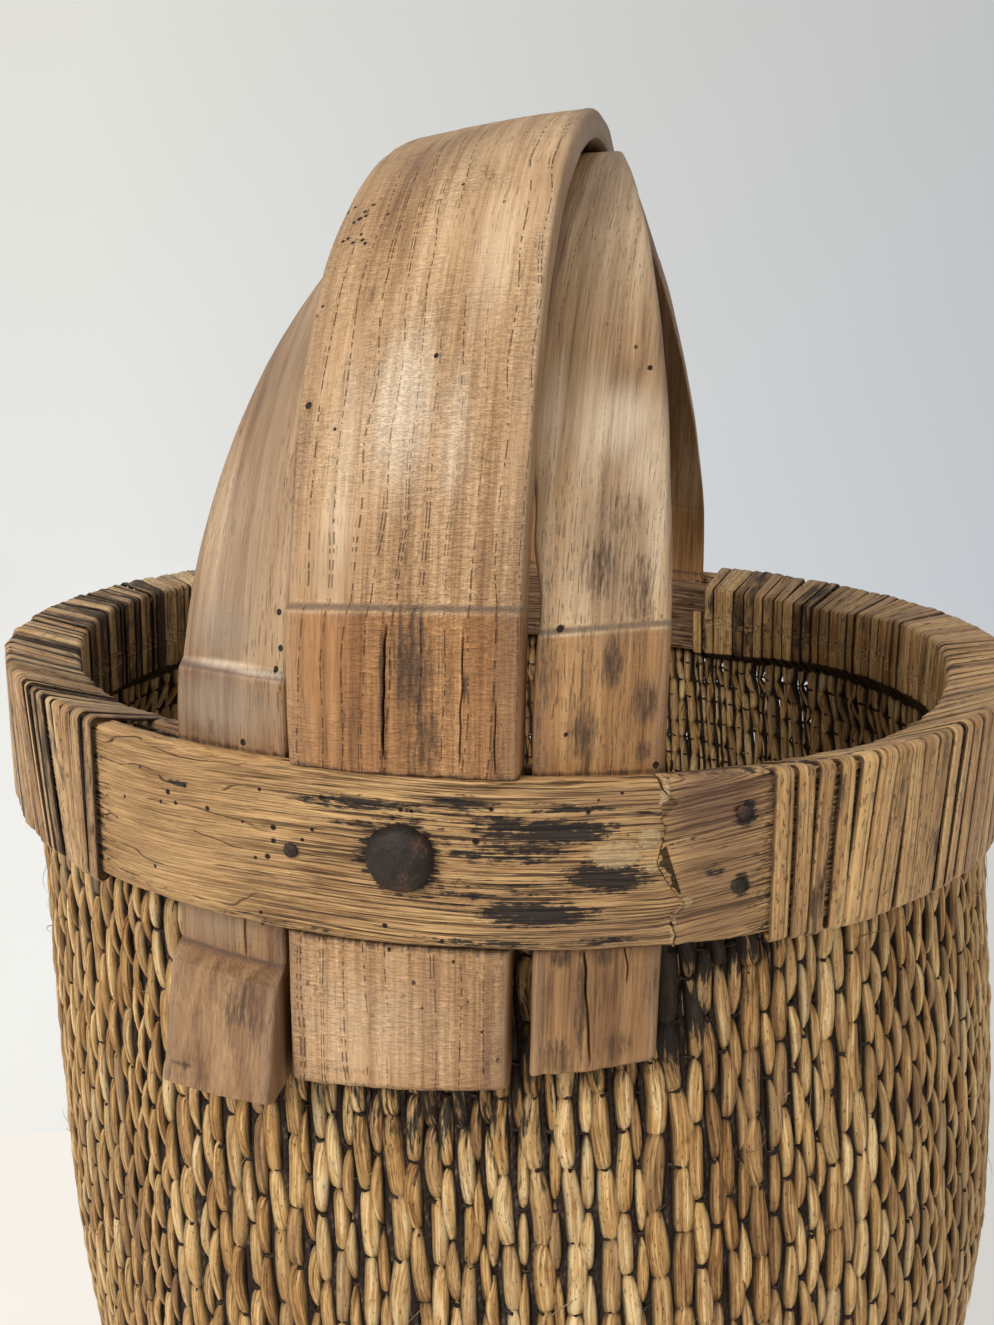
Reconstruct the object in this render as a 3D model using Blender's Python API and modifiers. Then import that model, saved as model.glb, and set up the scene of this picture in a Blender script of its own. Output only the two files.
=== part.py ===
"""Harvest basket: a woven willow body, two wooden rim bands bound with split cane, and a bent wood handle.

Metres, +Z up. The origin is on the floor, under the middle of the basket's box. The handle spans from
front (-Y) to back (+Y). The body leans a little towards +X as it goes down, as an old basket sags.
Rim pieces are modelled about the middle of the rim, with z = 0 at the top of the outer band.
"""

import math

import bmesh
import bpy
from mathutils import Vector

MM = 0.001
GAP = 0.3 * MM                       # air left between touching pieces

# Rim: half widths are (along X, along Y) of each hoop's outer face.
RIM_HEIGHT = 385 * MM                # floor to the top of the outer band
RIM_X = -6.53 * MM                   # the rim's middle, which puts the leaning basket's box on the origin
BAND_HEIGHT = 50 * MM
BAND_HALF = (203.5 * MM, 200 * MM)
BAND_THICK = 8 * MM
INNER_HALF = (187.8 * MM, 177.2 * MM)
INNER_THICK = 6.2 * MM
INNER_TOP = -2 * MM
INNER_HEIGHT = 39 * MM
HOOP_EASE = 0.9 * MM                 # bevel on a hoop's edges
HOOP_STEPS = 64

# Woven body: depth below the rim's top, half width along X and along Y.
WALL_THICK = 7 * MM
WALL_TOP = 2.2 * MM
WALL_NECK = (195.2 * MM, 184.5 * MM)
WALL_PROFILE = [
    (0.060, 0.2005, 0.1842),
    (0.100, 0.2032, 0.1842),
    (0.135, 0.2052, 0.1890),
    (0.180, 0.2070, 0.1925),
    (0.225, 0.2080, 0.1940),
    (0.255, 0.2065, 0.1935),
    (0.285, 0.2040, 0.1910),
    (0.315, 0.2000, 0.1870),
    (0.340, 0.1940, 0.1815),
    (0.360, 0.1855, 0.1735),
    (0.375, 0.1720, 0.1610),
    (0.385, 0.1480, 0.1385),
]
NECK_DEPTH = 54.2 * MM               # the narrow neck behind the band ends here
WEAVE_STEPS = 80                     # columns round the wall; every second one swells in each row
WEAVE_ROWS = (0.060, 0.085, 0.113, 0.141, 0.169, 0.197, 0.225, 0.253, 0.281, 0.309, 0.335, 0.358, 0.375, 0.385)
WEAVE_RELIEF = 2.8 * MM              # how deep the hollows between the wall's swellings are
WEAVE_EVEN_ROW = 0.225               # the row that swells at the columns on the X and Y axes
INNER_ROWS = (0.060, 0.225, 0.285, 0.340, 0.360, 0.375, 0.385)
LEAN = 12 * MM                       # how far the foot has moved towards +X
LEAN_START = 0.070                   # depth where the lean begins
LEAN_DEPTH = 0.215                   # depth over which it builds up

# Handle. Arches are superellipses in the YZ plane: reach at the rim, rise above it, exponent.
CENTRE_ARCH_LEFT = (198.5 * MM, 194 * MM, 2.25)
CENTRE_ARCH_RIGHT = (198.5 * MM, 204 * MM, 2.25)
RIGHT_ARCH_INNER = (190 * MM, 187.6 * MM, 2.05)
RIGHT_ARCH_OUTER = (178 * MM, 192.8 * MM, 1.65)
LEFT_ARCH_INNER = (190 * MM, 186 * MM, 2.05)
LEFT_ARCH_OUTER = (178 * MM, 176 * MM, 1.65)
CENTRE_LEFT_X = (-31.5 * MM, -34 * MM, -28 * MM)     # edges at the rim, half way up and at the crown
CENTRE_RIGHT_X = (33.2 * MM, 32.5 * MM, 35 * MM)
RIGHT_INNER_X = (36 * MM, 0.4 * MM)  # edges at the rim and at the crown, under the centre strap
RIGHT_OUTER_X = (72 * MM, 41.5 * MM)
RIGHT_BACK_SPLAY = 12 * MM           # how much further out the right strap stands at the back
RIGHT_LAPS = [                       # the right strap's front edge runs in under the centre strap over
    (0.155, 0.225, 2.6 * MM),        # these shares of the way to the crown, by this much
    (0.240, 0.340, 4.0 * MM),
]
LEFT_INNER_X = (34 * MM, 0.4 * MM)
LEFT_OUTER_X = (72.5 * MM, 36 * MM)
CENTRE_FOOT_SHIFT = -1.8 * MM        # how far each lower block stands sideways of its strap
RIGHT_FOOT_SHIFT = 1.8 * MM
LEFT_FOOT_SHIFT = 2.5 * MM
CENTRE_BACK = 13.4 * MM              # from the arch line in to the strap's back, at the rim
SIDE_BACK = 4.9 * MM
CENTRE_THICK = 10.5 * MM             # thickness along the arch
SIDE_THICK = 9 * MM
CENTRE_SHOULDER = 46 * MM            # height of each upper block
RIGHT_SHOULDER = 40 * MM
LEFT_SHOULDER = 21 * MM
LEDGE = 2.5 * MM                     # height of the sloping step above each block
FOOT_LEVEL = -86 * MM                # below this a strap's end may slope across
NOTCH_GAP = 0.5 * MM                 # air above and below the band in each strap's notch
NOTCH_REACH = 40 * MM
STRAP_COLUMNS = 4
ARCH_STEPS = 14

# Cane winding: lengths of cane on each side, turns in each length.
WRAP_START = math.radians(29.4)      # hoop angle from the front where the cane begins
RIGHT_WRAP_END = math.radians(26.0)  # hoop angle from the back where each side's cane ends
LEFT_WRAP_END = math.radians(29.4)
WRAP_LENGTHS = 3
WRAP_THICK = 1.3 * MM
WRAP_STAND_OFF = 1.0 * MM
WRAP_TOP = 3.6 * MM
WRAP_BOTTOM = -52 * MM
WRAP_CHAMFER = 2.6 * MM
WRAP_LOW_CHAMFER = 1.7 * MM
WRAP_JOIN = -25 * MM                 # height inside the rim where one length ends and the next begins
WRAP_JOIN_DROP = 1.2 * MM
WRAP_FILL = 0.9                      # strip width over the pitch
RIGHT_TURNS = 20
LEFT_TURNS = 24
SLOT_MARGIN = math.radians(0.8)      # how far the wall's slot runs past the cane
SLOT_REACH = 20 * MM
SLOT_STEPS = 34

# Nails: head radius, head height, shank radius.
DOME_NAIL = (10.3 * MM, 5.2 * MM, 2.2 * MM)
DOME_SHANK = 13.5 * MM
SMALL_NAIL = (2.4 * MM, 1.0 * MM, 1.0 * MM)
SMALL_SHANK = 12.5 * MM
END_SHANK = 7.0 * MM
BLIND = 0.5 * MM                     # how far a nail's hole runs past its shank
# On each bare stretch: name, sizes, shank, degrees to the right of its middle as it is faced, z, and whether
# it goes on into the centre strap. The back's end nails stand on its other end.
NAIL_PLACES = [
    ("dome", DOME_NAIL, DOME_SHANK, 0.4, -23 * MM, True),
    ("small", SMALL_NAIL, SMALL_SHANK, -8.73, -24.8 * MM, True),
    ("upper_end", SMALL_NAIL, END_SHANK, 27.6, -10.7 * MM, False),
    ("lower_end", SMALL_NAIL, END_SHANK, 27.6, -32.9 * MM, False),
]

# Crack across the front of the outer band: (degrees to the right of the middle, z).
CRACK_LINE = [
    (20.8, 2.0 * MM),
    (21.6, -4.0 * MM),
    (22.2, -6.0 * MM),
    (21.2, -18.0 * MM),
    (22.0, -30.0 * MM),
    (23.1, -39.0 * MM),
    (22.8, -52.0 * MM),
]
CRACK_HALF_GAP = math.radians(0.16)
CRACK_DEPTH = 5.5 * MM

WILLOW = (0.42, 0.27, 0.13)
BAND_WOOD = (0.50, 0.34, 0.18)
HANDLE_WOOD = (0.42, 0.26, 0.13)
PALE_CANE = (0.55, 0.36, 0.18)
DARK_CANE = (0.34, 0.22, 0.12)
IRON = (0.06, 0.05, 0.045)


def clear_scene():
    """Start from an empty file."""
    for obj in list(bpy.data.objects):
        bpy.data.objects.remove(obj, do_unlink=True)


def new_collection(name):
    """Make a collection in the scene."""
    collection = bpy.data.collections.new(name)
    bpy.context.scene.collection.children.link(collection)
    return collection


def material(name, colour, roughness=0.7, metallic=0.0):
    """Make a plain surface."""
    made = bpy.data.materials.new(name)
    made.use_nodes = True
    shader = made.node_tree.nodes["Principled BSDF"]
    shader.inputs["Base Color"].default_value = (*colour, 1.0)
    shader.inputs["Roughness"].default_value = roughness
    shader.inputs["Metallic"].default_value = metallic
    return made


def add_object(name, mesh, collection, colour, metallic=0.0):
    """Put a mesh in the scene as a rim piece with its own material."""
    obj = bpy.data.objects.new(name, mesh)
    collection.objects.link(obj)
    obj.location = (RIM_X, 0, RIM_HEIGHT)
    mesh.materials.append(material(name, colour, metallic=metallic))
    return obj


def add_cutter(name, mesh, collection):
    """Put a cutting body in the scene."""
    obj = bpy.data.objects.new(name, mesh)
    collection.objects.link(obj)
    obj.location = (RIM_X, 0, RIM_HEIGHT)
    obj.hide_render = True
    obj.display_type = "WIRE"
    return obj


def cut(obj, cutter):
    """Take the cutter away from the object."""
    step = obj.modifiers.new("cut " + cutter.name, "BOOLEAN")
    step.operation = "DIFFERENCE"
    step.solver = "EXACT"
    step.object = cutter


def mesh_from(bm, name):
    """Finish a bmesh as a mesh with outward faces."""
    bmesh.ops.recalc_face_normals(bm, faces=bm.faces)
    mesh = bpy.data.meshes.new(name)
    bm.to_mesh(mesh)
    bm.free()
    return mesh


def smooth(mesh, degrees=40):
    """Shade smooth, with edges past the angle kept sharp."""
    mesh.shade_smooth()
    mesh.set_sharp_from_angle(angle=math.radians(degrees))


def smoothstep(value):
    """Ease from 0 to 1."""
    value = min(max(value, 0.0), 1.0)
    return value * value * (3 - 2 * value)


def hoop_point(half, angle, z):
    """Point on an oval hoop; the angle is 0 at the front and grows towards +X."""
    return Vector((half[0] * math.sin(angle), -half[1] * math.cos(angle), z))


def grow(half, amount):
    """Half widths of a hoop grown outwards."""
    return (half[0] + amount, half[1] + amount)


def hoop_wall(half, top, height):
    """Open oval band, made from a circle extruded upwards."""
    bm = bmesh.new()
    bmesh.ops.create_circle(bm, segments=HOOP_STEPS, radius=1.0, cap_ends=False)
    bmesh.ops.scale(bm, vec=(half[0], half[1], 1), verts=bm.verts)
    bmesh.ops.translate(bm, vec=(0, 0, top - height), verts=bm.verts)
    ring = bmesh.ops.extrude_edge_only(bm, edges=bm.edges)
    rising = [item for item in ring["geom"] if isinstance(item, bmesh.types.BMVert)]
    bmesh.ops.translate(bm, vec=(0, 0, height), verts=rising)
    return bm


def hoop(name, half, thick, top, height, collection, colour):
    """A flat wooden hoop with eased edges."""
    mesh = mesh_from(hoop_wall(half, top, height), name)
    obj = add_object(name, mesh, collection, colour)
    shell = obj.modifiers.new("thickness", "SOLIDIFY")
    shell.thickness = thick
    shell.offset = -1
    shell.use_even_offset = True
    ease = obj.modifiers.new("eased edges", "BEVEL")
    ease.width = HOOP_EASE
    ease.segments = 1
    ease.limit_method = "ANGLE"
    ease.angle_limit = math.radians(50)
    return obj


def hoop_cutter(name, inner, outer, top, height, collection):
    """Closed oval ring that clears a hoop."""
    mesh = mesh_from(hoop_wall(outer, top, height), name)
    obj = add_cutter(name, mesh, collection)
    shell = obj.modifiers.new("thickness", "SOLIDIFY")
    shell.thickness = outer[0] - inner[0]
    shell.offset = -1
    shell.use_even_offset = True
    return obj


def lean_at(depth):
    """Sideways shift of the woven body at a depth below the rim's top."""
    share = min(max((depth - LEAN_START) / LEAN_DEPTH, 0.0), 1.0)
    return LEAN * math.sin(share * math.pi / 2)


def half_width_at(depth):
    """Half width of the body along X at a depth, between the profile's own depths."""
    for (high, high_x, _), (low, low_x, _) in zip(WALL_PROFILE, WALL_PROFILE[1:]):
        if depth <= low:
            return high_x + (low_x - high_x) * (depth - high) / (low - high)
    return WALL_PROFILE[-1][1]


def wall_side(rows):
    """Outline of the wall's outer face through these depths, as (half width along X, z), rim to base."""
    side = [Vector((WALL_NECK[0], WALL_TOP)), Vector((WALL_NECK[0], -NECK_DEPTH))]
    side += [Vector((half_width_at(depth), -depth)) for depth in rows]
    side.append(Vector((0.0, -WALL_PROFILE[-1][0])))
    return side


def wall_outline():
    """Outer then inner outline of the woven body, from rim to base to rim."""
    outer = wall_side(WEAVE_ROWS)
    plain = wall_side(INNER_ROWS)
    inner = []
    for before, point, after in zip(plain, plain[1:], plain[2:]):
        run = (after - before).normalized()
        inner.append(point + Vector((run.y, -run.x)) * WALL_THICK)
    inner.insert(0, plain[0] - Vector((WALL_THICK, 0)))
    inner.append(plain[-1] + Vector((0, WALL_THICK)))
    return outer, inner[::-1]


def swell_weave(mesh):
    """Hollow every second column of the wall's outer rows, staggered from row to row, as woven rods swell."""
    even = WEAVE_ROWS.index(WEAVE_EVEN_ROW)
    for corner in mesh.vertices:
        reach = math.hypot(corner.co.x, corner.co.y)
        for row, depth in enumerate(WEAVE_ROWS[1:-1], start=1):
            if abs(corner.co.z + depth) > 0.05 * MM or abs(reach - half_width_at(depth)) > 0.05 * MM:
                continue
            column = round(math.atan2(corner.co.x, -corner.co.y) / (2 * math.pi) * WEAVE_STEPS)
            if (column + row - even) % 2:
                share = (reach - WEAVE_RELIEF) / reach
                corner.co.x *= share
                corner.co.y *= share


def oval_ratio(z):
    """Y to X ratio of the body at a height."""
    levels = [(NECK_DEPTH, *WALL_NECK)] + WALL_PROFILE
    depth = min(max(-z, levels[0][0]), levels[-1][0])
    for (high, high_x, high_y), (low, low_x, low_y) in zip(levels, levels[1:]):
        if depth <= low:
            share = (depth - high) / (low - high)
            return (high_y + (low_y - high_y) * share) / (high_x + (low_x - high_x) * share)
    return levels[-1][2] / levels[-1][1]


def woven_body(collection, cutters):
    """Woven willow wall and base: one turned shell, swollen, oval and leaning, with the cane's slots."""
    outer, inner = wall_outline()
    bm = bmesh.new()
    corners = [bm.verts.new((x, 0, z)) for x, z in outer + inner]
    for start, end in zip(corners, corners[1:]):
        bm.edges.new((start, end))
    bm.edges.new((corners[-1], corners[0]))
    middle = len(outer) - 1
    bm.edges.ensure_lookup_table()
    bm.edges.remove(bm.edges[middle])
    mesh = bpy.data.meshes.new("woven_body")
    bm.to_mesh(mesh)
    bm.free()
    obj = add_object("woven_body", mesh, collection, WILLOW)
    turn = obj.modifiers.new("turn", "SCREW")
    turn.steps = WEAVE_STEPS
    turn.render_steps = WEAVE_STEPS
    turn.use_merge_vertices = True
    turn.merge_threshold = 0.00005
    turn.use_normal_calculate = True
    turned = bpy.data.meshes.new_from_object(obj.evaluated_get(bpy.context.evaluated_depsgraph_get()))
    obj.modifiers.clear()
    swell_weave(turned)
    for corner in turned.vertices:
        corner.co.y *= oval_ratio(corner.co.z)
        corner.co.x += lean_at(-corner.co.z)
    bm = bmesh.new()
    bm.from_mesh(turned)
    bmesh.ops.remove_doubles(bm, verts=bm.verts, dist=0.00005)
    bmesh.ops.recalc_face_normals(bm, faces=bm.faces)
    bm.to_mesh(turned)
    bm.free()
    obj.data = turned
    smooth(turned, 8)
    for side, name, end in ((1, "right_slot", RIGHT_WRAP_END), (-1, "left_slot", LEFT_WRAP_END)):
        cut(obj, slot_cutter(name, side, end, cutters))
    return obj


def slot_cutter(name, side, end, cutters):
    """Arc-shaped slot under one winding, where the cane passes through the weave."""
    top = WRAP_BOTTOM + GAP
    bottom = WRAP_BOTTOM - WRAP_THICK - GAP
    first = WRAP_START - SLOT_MARGIN
    last = math.pi - end + SLOT_MARGIN
    inner = grow(INNER_HALF, -SLOT_REACH)
    outer = grow(BAND_HALF, SLOT_REACH)
    bm = bmesh.new()
    rings = []
    for index in range(SLOT_STEPS + 1):
        angle = side * (first + (last - first) * index / SLOT_STEPS)
        ring = [hoop_point(inner, angle, bottom), hoop_point(outer, angle, bottom),
                hoop_point(outer, angle, top), hoop_point(inner, angle, top)]
        rings.append([bm.verts.new(point) for point in ring])
    loft(bm, rings)
    return add_cutter(name, mesh_from(bm, name), cutters)


def loft(bm, rings):
    """Skin a row of closed rings that have the same number of corners, and close both ends."""
    count = len(rings[0])
    for ring, following in zip(rings, rings[1:]):
        for place in range(count):
            after = (place + 1) % count
            bm.faces.new((ring[place], ring[after], following[after], following[place]))
    bm.faces.new(rings[0])
    bm.faces.new(rings[-1])


def arch_point(arch, place):
    """Point (y, z) of an arch: place is a height when below 0, else the share of the way to the crown."""
    reach, rise, power = arch
    if place <= 0:
        return (-reach, place)
    if place >= 1:
        return (0.0, rise)
    height = math.sin(place * math.pi / 2)
    return (-reach * (1 - height ** power) ** (1 / power), rise * height)


def arch_normal(arch, place):
    """Outward unit direction (y, z) square to an arch."""
    if place <= 0:
        return (-1.0, 0.0)
    if place >= 1:
        return (0.0, 1.0)
    small = 0.002
    before = arch_point(arch, max(place - small, 0.0001))
    after = arch_point(arch, min(place + small, 0.9999))
    run = Vector((after[0] - before[0], after[1] - before[1])).normalized()
    return (-run.y, run.x)


def place_at_height(arch, z):
    """Share of the way to the crown at which an arch reaches a height."""
    return math.asin(z / arch[1]) / (math.pi / 2)


def foot_shift(place, shift):
    """Sideways shift of a strap, which builds up behind the band."""
    return shift * min(max(-place / BAND_HEIGHT, 0.0), 1.0)


def centre_edges(place, back):
    """Left and right edge of the centre strap."""
    share = min(max(place, 0.0), 1.0)
    first, second = min(share * 2, 1.0), max(share * 2 - 1, 0.0)
    shift = foot_shift(place, CENTRE_FOOT_SHIFT)
    return tuple(shift + rim + (mid - rim) * smoothstep(first) + (crown - mid) * smoothstep(second)
                 for rim, mid, crown in (CENTRE_LEFT_X, CENTRE_RIGHT_X))


def side_edges(inner, outer, splay, foot, place, back):
    """Inner and outer edge of a side strap, which close in under the centre strap."""
    share = min(max(place, 0.0), 1.0)
    away = (splay if back else 0.0) + foot_shift(place, foot)
    start_in, start_out = inner[0] + away, outer[0] + away
    closing = smoothstep(share if back and splay else share ** 1.25)
    low = start_in + (inner[1] - start_in) * smoothstep((share - 0.26) / 0.74)
    return (low, start_out + (outer[1] - start_out) * closing)


def right_edges(place, back):
    """Edges of the right strap."""
    low, high = side_edges(RIGHT_INNER_X, RIGHT_OUTER_X, RIGHT_BACK_SPLAY, RIGHT_FOOT_SHIFT, place, back)
    fade = 1 - smoothstep((place - 0.4) / 0.5)
    laps = 0.0 if back else sum(lap * smoothstep((place - start) / (end - start)) * fade
                                for start, end, lap in RIGHT_LAPS)
    return (low - laps, high)


def left_edges(place, back):
    """Edges of the left strap, as if it stood at +X."""
    return side_edges(LEFT_INNER_X, LEFT_OUTER_X, 0.0, LEFT_FOOT_SHIFT, place, back)


def rim_bow(x):
    """How far the rim's curve falls back at a sideways place, from the front."""
    return BAND_HALF[1] * (1 - math.sqrt(1 - (x / BAND_HALF[0]) ** 2))


def strap_ring(arches, edges, station, foot_slope, back_half):
    """Corners of one section of a strap: its face from low to high x, then its back."""
    place, face, depth = station
    level = min(max(place, 0.0), 1.0)
    low_x, high_x = edges(place, back_half)
    front_low, front_high = edges(place, False)
    way = -1 if back_half else 1
    faces = []
    backs = []
    for column in range(STRAP_COLUMNS + 1):
        share = column / STRAP_COLUMNS
        x = low_x + (high_x - low_x) * share
        y, z = blend_pair(arch_point(arches[0], place), arch_point(arches[1], place), share)
        ny, nz = blend_pair(arch_normal(arches[0], place), arch_normal(arches[1], place), share)
        bow = rim_bow(x)
        if arches[2]:
            bow -= rim_bow(front_low) + (rim_bow(front_high) - rim_bow(front_low)) * share
        bow *= 1 - 0.75 * level
        if place <= FOOT_LEVEL:
            z -= foot_slope[0] + (foot_slope[1] - foot_slope[0]) * share
        for row, height in ((faces, face - bow), (backs, -depth - bow)):
            row.append(Vector((x, way * (y + height * ny), z + height * nz)))
    ring = faces + backs[::-1]
    if place >= 1:
        for point in ring:
            point.y = 0.0
    return ring


def strap(name, arches, edges, stations, foot_slope, collection):
    """Bent strap from its front lower end, over the crown, to its back lower end.

    arches are those of the low and high x edges, and whether the two set the strap's curve across.
    Each station is (place on the arch, face height over the arch line, depth of the back under it).
    """
    bm = bmesh.new()
    rows = [(station, False) for station in stations] + [(station, True) for station in stations[-2::-1]]
    rings = []
    for station, back_half in rows:
        ring = strap_ring(arches, edges, station, foot_slope, back_half)
        rings.append([bm.verts.new(point) for point in ring])
    loft(bm, rings)
    mesh = mesh_from(bm, name)
    smooth(mesh, 30)
    return add_object(name, mesh, collection, HANDLE_WOOD)


def blend_pair(first, second, share):
    """Mix two pairs."""
    return tuple(a + (b - a) * share for a, b in zip(first, second))


def arch_stations(arch, shoulder, thick, start_back):
    """Stations above a block, from its sloping ledge to the crown."""
    first = place_at_height(arch, shoulder + LEDGE)
    stations = []
    for index in range(ARCH_STEPS + 1):
        share = index / ARCH_STEPS
        place = first + (1 - first) * share
        settle = smoothstep(share * 4)
        stations.append((place, 0.0, start_back + (thick - start_back) * settle))
    return stations


def centre_strap(collection):
    """Widest strap, on top: blocks above and below the band, the arch between them."""
    level = place_at_height(CENTRE_ARCH_RIGHT, CENTRE_SHOULDER)
    stations = [
        (-96.5 * MM, -1 * MM, CENTRE_BACK - 1 * MM),
        (-94 * MM, 0.6 * MM, CENTRE_BACK),
        (-50 * MM, 1 * MM, CENTRE_BACK),
        (0.0, 1 * MM, CENTRE_BACK),
        (level * 0.55, 2 * MM, CENTRE_BACK - 0.6 * MM),
        (level * 0.97, 2.8 * MM, CENTRE_BACK - 1.4 * MM),
        (level, 2.4 * MM, CENTRE_BACK - 1.6 * MM),
    ]
    stations += arch_stations(CENTRE_ARCH_RIGHT, CENTRE_SHOULDER, CENTRE_THICK, CENTRE_BACK - 2 * MM)
    arches = (CENTRE_ARCH_LEFT, CENTRE_ARCH_RIGHT, False)
    return strap("handle_centre_strap", arches, centre_edges, stations, (5 * MM, 0.0), collection)


def side_strap(name, arches, edges, shoulder, foot, foot_slope, collection):
    """Strap beside and under the centre one, built for the +X side."""
    level = place_at_height(arches[1], shoulder)
    stations = foot + [
        (0.0, 1.4 * MM, SIDE_BACK),
        (level * 0.97, 2.6 * MM, SIDE_BACK + 0.6 * MM),
        (level, 2.2 * MM, SIDE_BACK + 0.6 * MM),
    ]
    stations += arch_stations(arches[1], shoulder, SIDE_THICK, SIDE_BACK + 1 * MM)
    return strap(name, arches, edges, stations, foot_slope, collection)


def flip_side(obj):
    """Turn a +X side strap into the -X one."""
    for corner in obj.data.vertices:
        corner.co.x = -corner.co.x
    obj.data.flip_normals()


def handle(collection, cutters):
    """Three straps, notched where the outer band crosses them."""
    right_foot = [
        (-90 * MM, 3 * MM, SIDE_BACK - 0.5 * MM),
        (-88 * MM, 4.5 * MM, SIDE_BACK),
        (-52 * MM, 3 * MM, SIDE_BACK),
        (-49 * MM, 0.5 * MM, SIDE_BACK),
    ]
    left_foot = [
        (-104 * MM, 15 * MM, SIDE_BACK - 0.5 * MM),
        (-101 * MM, 18 * MM, SIDE_BACK),
        (-68.5 * MM, 7.5 * MM, SIDE_BACK),
        (-66 * MM, 0.2 * MM, SIDE_BACK),
        (-49 * MM, 0.2 * MM, SIDE_BACK),
    ]
    centre = centre_strap(collection)
    right = side_strap("handle_right_strap", (RIGHT_ARCH_INNER, RIGHT_ARCH_OUTER, True), right_edges,
                       RIGHT_SHOULDER, right_foot, (3 * MM, 0.0), collection)
    left = side_strap("handle_left_strap", (LEFT_ARCH_INNER, LEFT_ARCH_OUTER, True), left_edges,
                      LEFT_SHOULDER, left_foot, (0.0, 4 * MM), collection)
    flip_side(left)
    inner = grow(BAND_HALF, -BAND_THICK - GAP)
    outer = grow(inner, NOTCH_REACH)
    notch = hoop_cutter("band_notch", inner, outer, NOTCH_GAP, BAND_HEIGHT + 2 * NOTCH_GAP, cutters)
    for piece in (centre, right, left):
        cut(piece, notch)
    return centre


def nail(name, sizes, shank, angle, z, collection):
    """Hand-made nail: a domed head outside the band and a round shank through it."""
    head_radius, head_height, shank_radius = sizes
    profile = [(0, -shank), (shank_radius * 0.5, -shank), (shank_radius, -shank * 0.75),
               (shank_radius, 0), (head_radius * 0.94, 0), (head_radius, head_height * 0.22),
               (head_radius * 0.86, head_height * 0.6), (head_radius * 0.5, head_height * 0.92),
               (0, head_height)]
    bm = bmesh.new()
    corners = [bm.verts.new((radius, 0, height)) for radius, height in reversed(profile)]
    for start, end in zip(corners, corners[1:]):
        bm.edges.new((start, end))
    mesh = bpy.data.meshes.new(name)
    bm.to_mesh(mesh)
    bm.free()
    obj = add_object(name, mesh, collection, IRON, metallic=0.8)
    turn = obj.modifiers.new("turn", "SCREW")
    turn.steps = 16 if head_radius > 5 * MM else 10
    turn.render_steps = turn.steps
    turn.use_merge_vertices = True
    turn.merge_threshold = 0.00002
    turn.use_smooth_shade = True
    set_on_band(obj, angle, z)
    return obj


def set_on_band(obj, angle, z):
    """Stand a nail on the outer band, its own Z pointing out of the wood."""
    spot = hoop_point(grow(BAND_HALF, GAP), angle, z)
    outward = Vector((math.sin(angle) / BAND_HALF[0], -math.cos(angle) / BAND_HALF[1], 0)).normalized()
    obj.location = Vector((RIM_X, 0, RIM_HEIGHT)) + spot
    obj.rotation_euler = outward.to_track_quat("Z", "Y").to_euler()


def nail_hole(name, radius, depth, angle, z, cutters):
    """Clearance hole for a nail's shank."""
    bm = bmesh.new()
    reach = depth + 12 * MM
    bmesh.ops.create_cone(bm, cap_ends=True, segments=12, radius1=radius, radius2=radius, depth=reach)
    bmesh.ops.translate(bm, vec=(0, 0, reach / 2 - depth), verts=bm.verts)
    obj = add_cutter(name, mesh_from(bm, name), cutters)
    set_on_band(obj, angle, z)
    return obj


def nails(band, centre_strap_piece, collection, cutters):
    """Nails of both bare stretches, the back ones opposite the front ones, with their holes."""
    for side, turn, way in (("front", 0.0, 1), ("back", math.pi, -1)):
        for word, sizes, shank, degrees, z, deep in NAIL_PLACES:
            name = side + "_" + word
            angle = turn + (way if deep else 1) * math.radians(degrees)
            nail(name + "_nail", sizes, shank, angle, z, collection)
            hole = nail_hole(name + "_hole", sizes[2] + GAP, shank + BLIND, angle, z, cutters)
            cut(band, hole)
            if deep:
                cut(centre_strap_piece, hole)


def band_crack(band, cutters):
    """Open crack that crosses the front of the outer band in a zigzag, not quite through it."""
    deep = grow(BAND_HALF, -CRACK_DEPTH)
    proud = grow(BAND_HALF, CRACK_DEPTH)
    bm = bmesh.new()
    rings = []
    for degrees, z in CRACK_LINE:
        angle = math.radians(degrees)
        ring = [hoop_point(deep, angle, z), hoop_point(proud, angle - CRACK_HALF_GAP, z),
                hoop_point(proud, angle + CRACK_HALF_GAP, z)]
        rings.append([bm.verts.new(point) for point in ring])
    loft(bm, rings)
    cut(band, add_cutter("crack", mesh_from(bm, "crack"), cutters))


def turn_corners():
    """Corners of one turn of cane, as (layer, outward shift, z): layer 0 is the outer band's face."""
    off = WRAP_STAND_OFF
    inset = WRAP_CHAMFER - off
    top_corner = WRAP_TOP - WRAP_CHAMFER
    low_corner = WRAP_BOTTOM + WRAP_LOW_CHAMFER
    return [
        (1, -off, top_corner),
        (1, inset, WRAP_TOP),
        (0, -inset, WRAP_TOP),
        (0, off, top_corner),
        (0, off, low_corner),
        (0, -inset, WRAP_BOTTOM),
        (1, inset, WRAP_BOTTOM),
        (1, -off, low_corner),
    ]


def wrap_layers():
    """Half widths of the outer face and of the inner face that the cane binds together."""
    return (BAND_HALF, grow(INNER_HALF, -INNER_THICK))


def wrap_point(layer, shift, z, angle):
    """Point of the cane's path."""
    return hoop_point(grow(wrap_layers()[layer], shift), angle, z)


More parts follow.
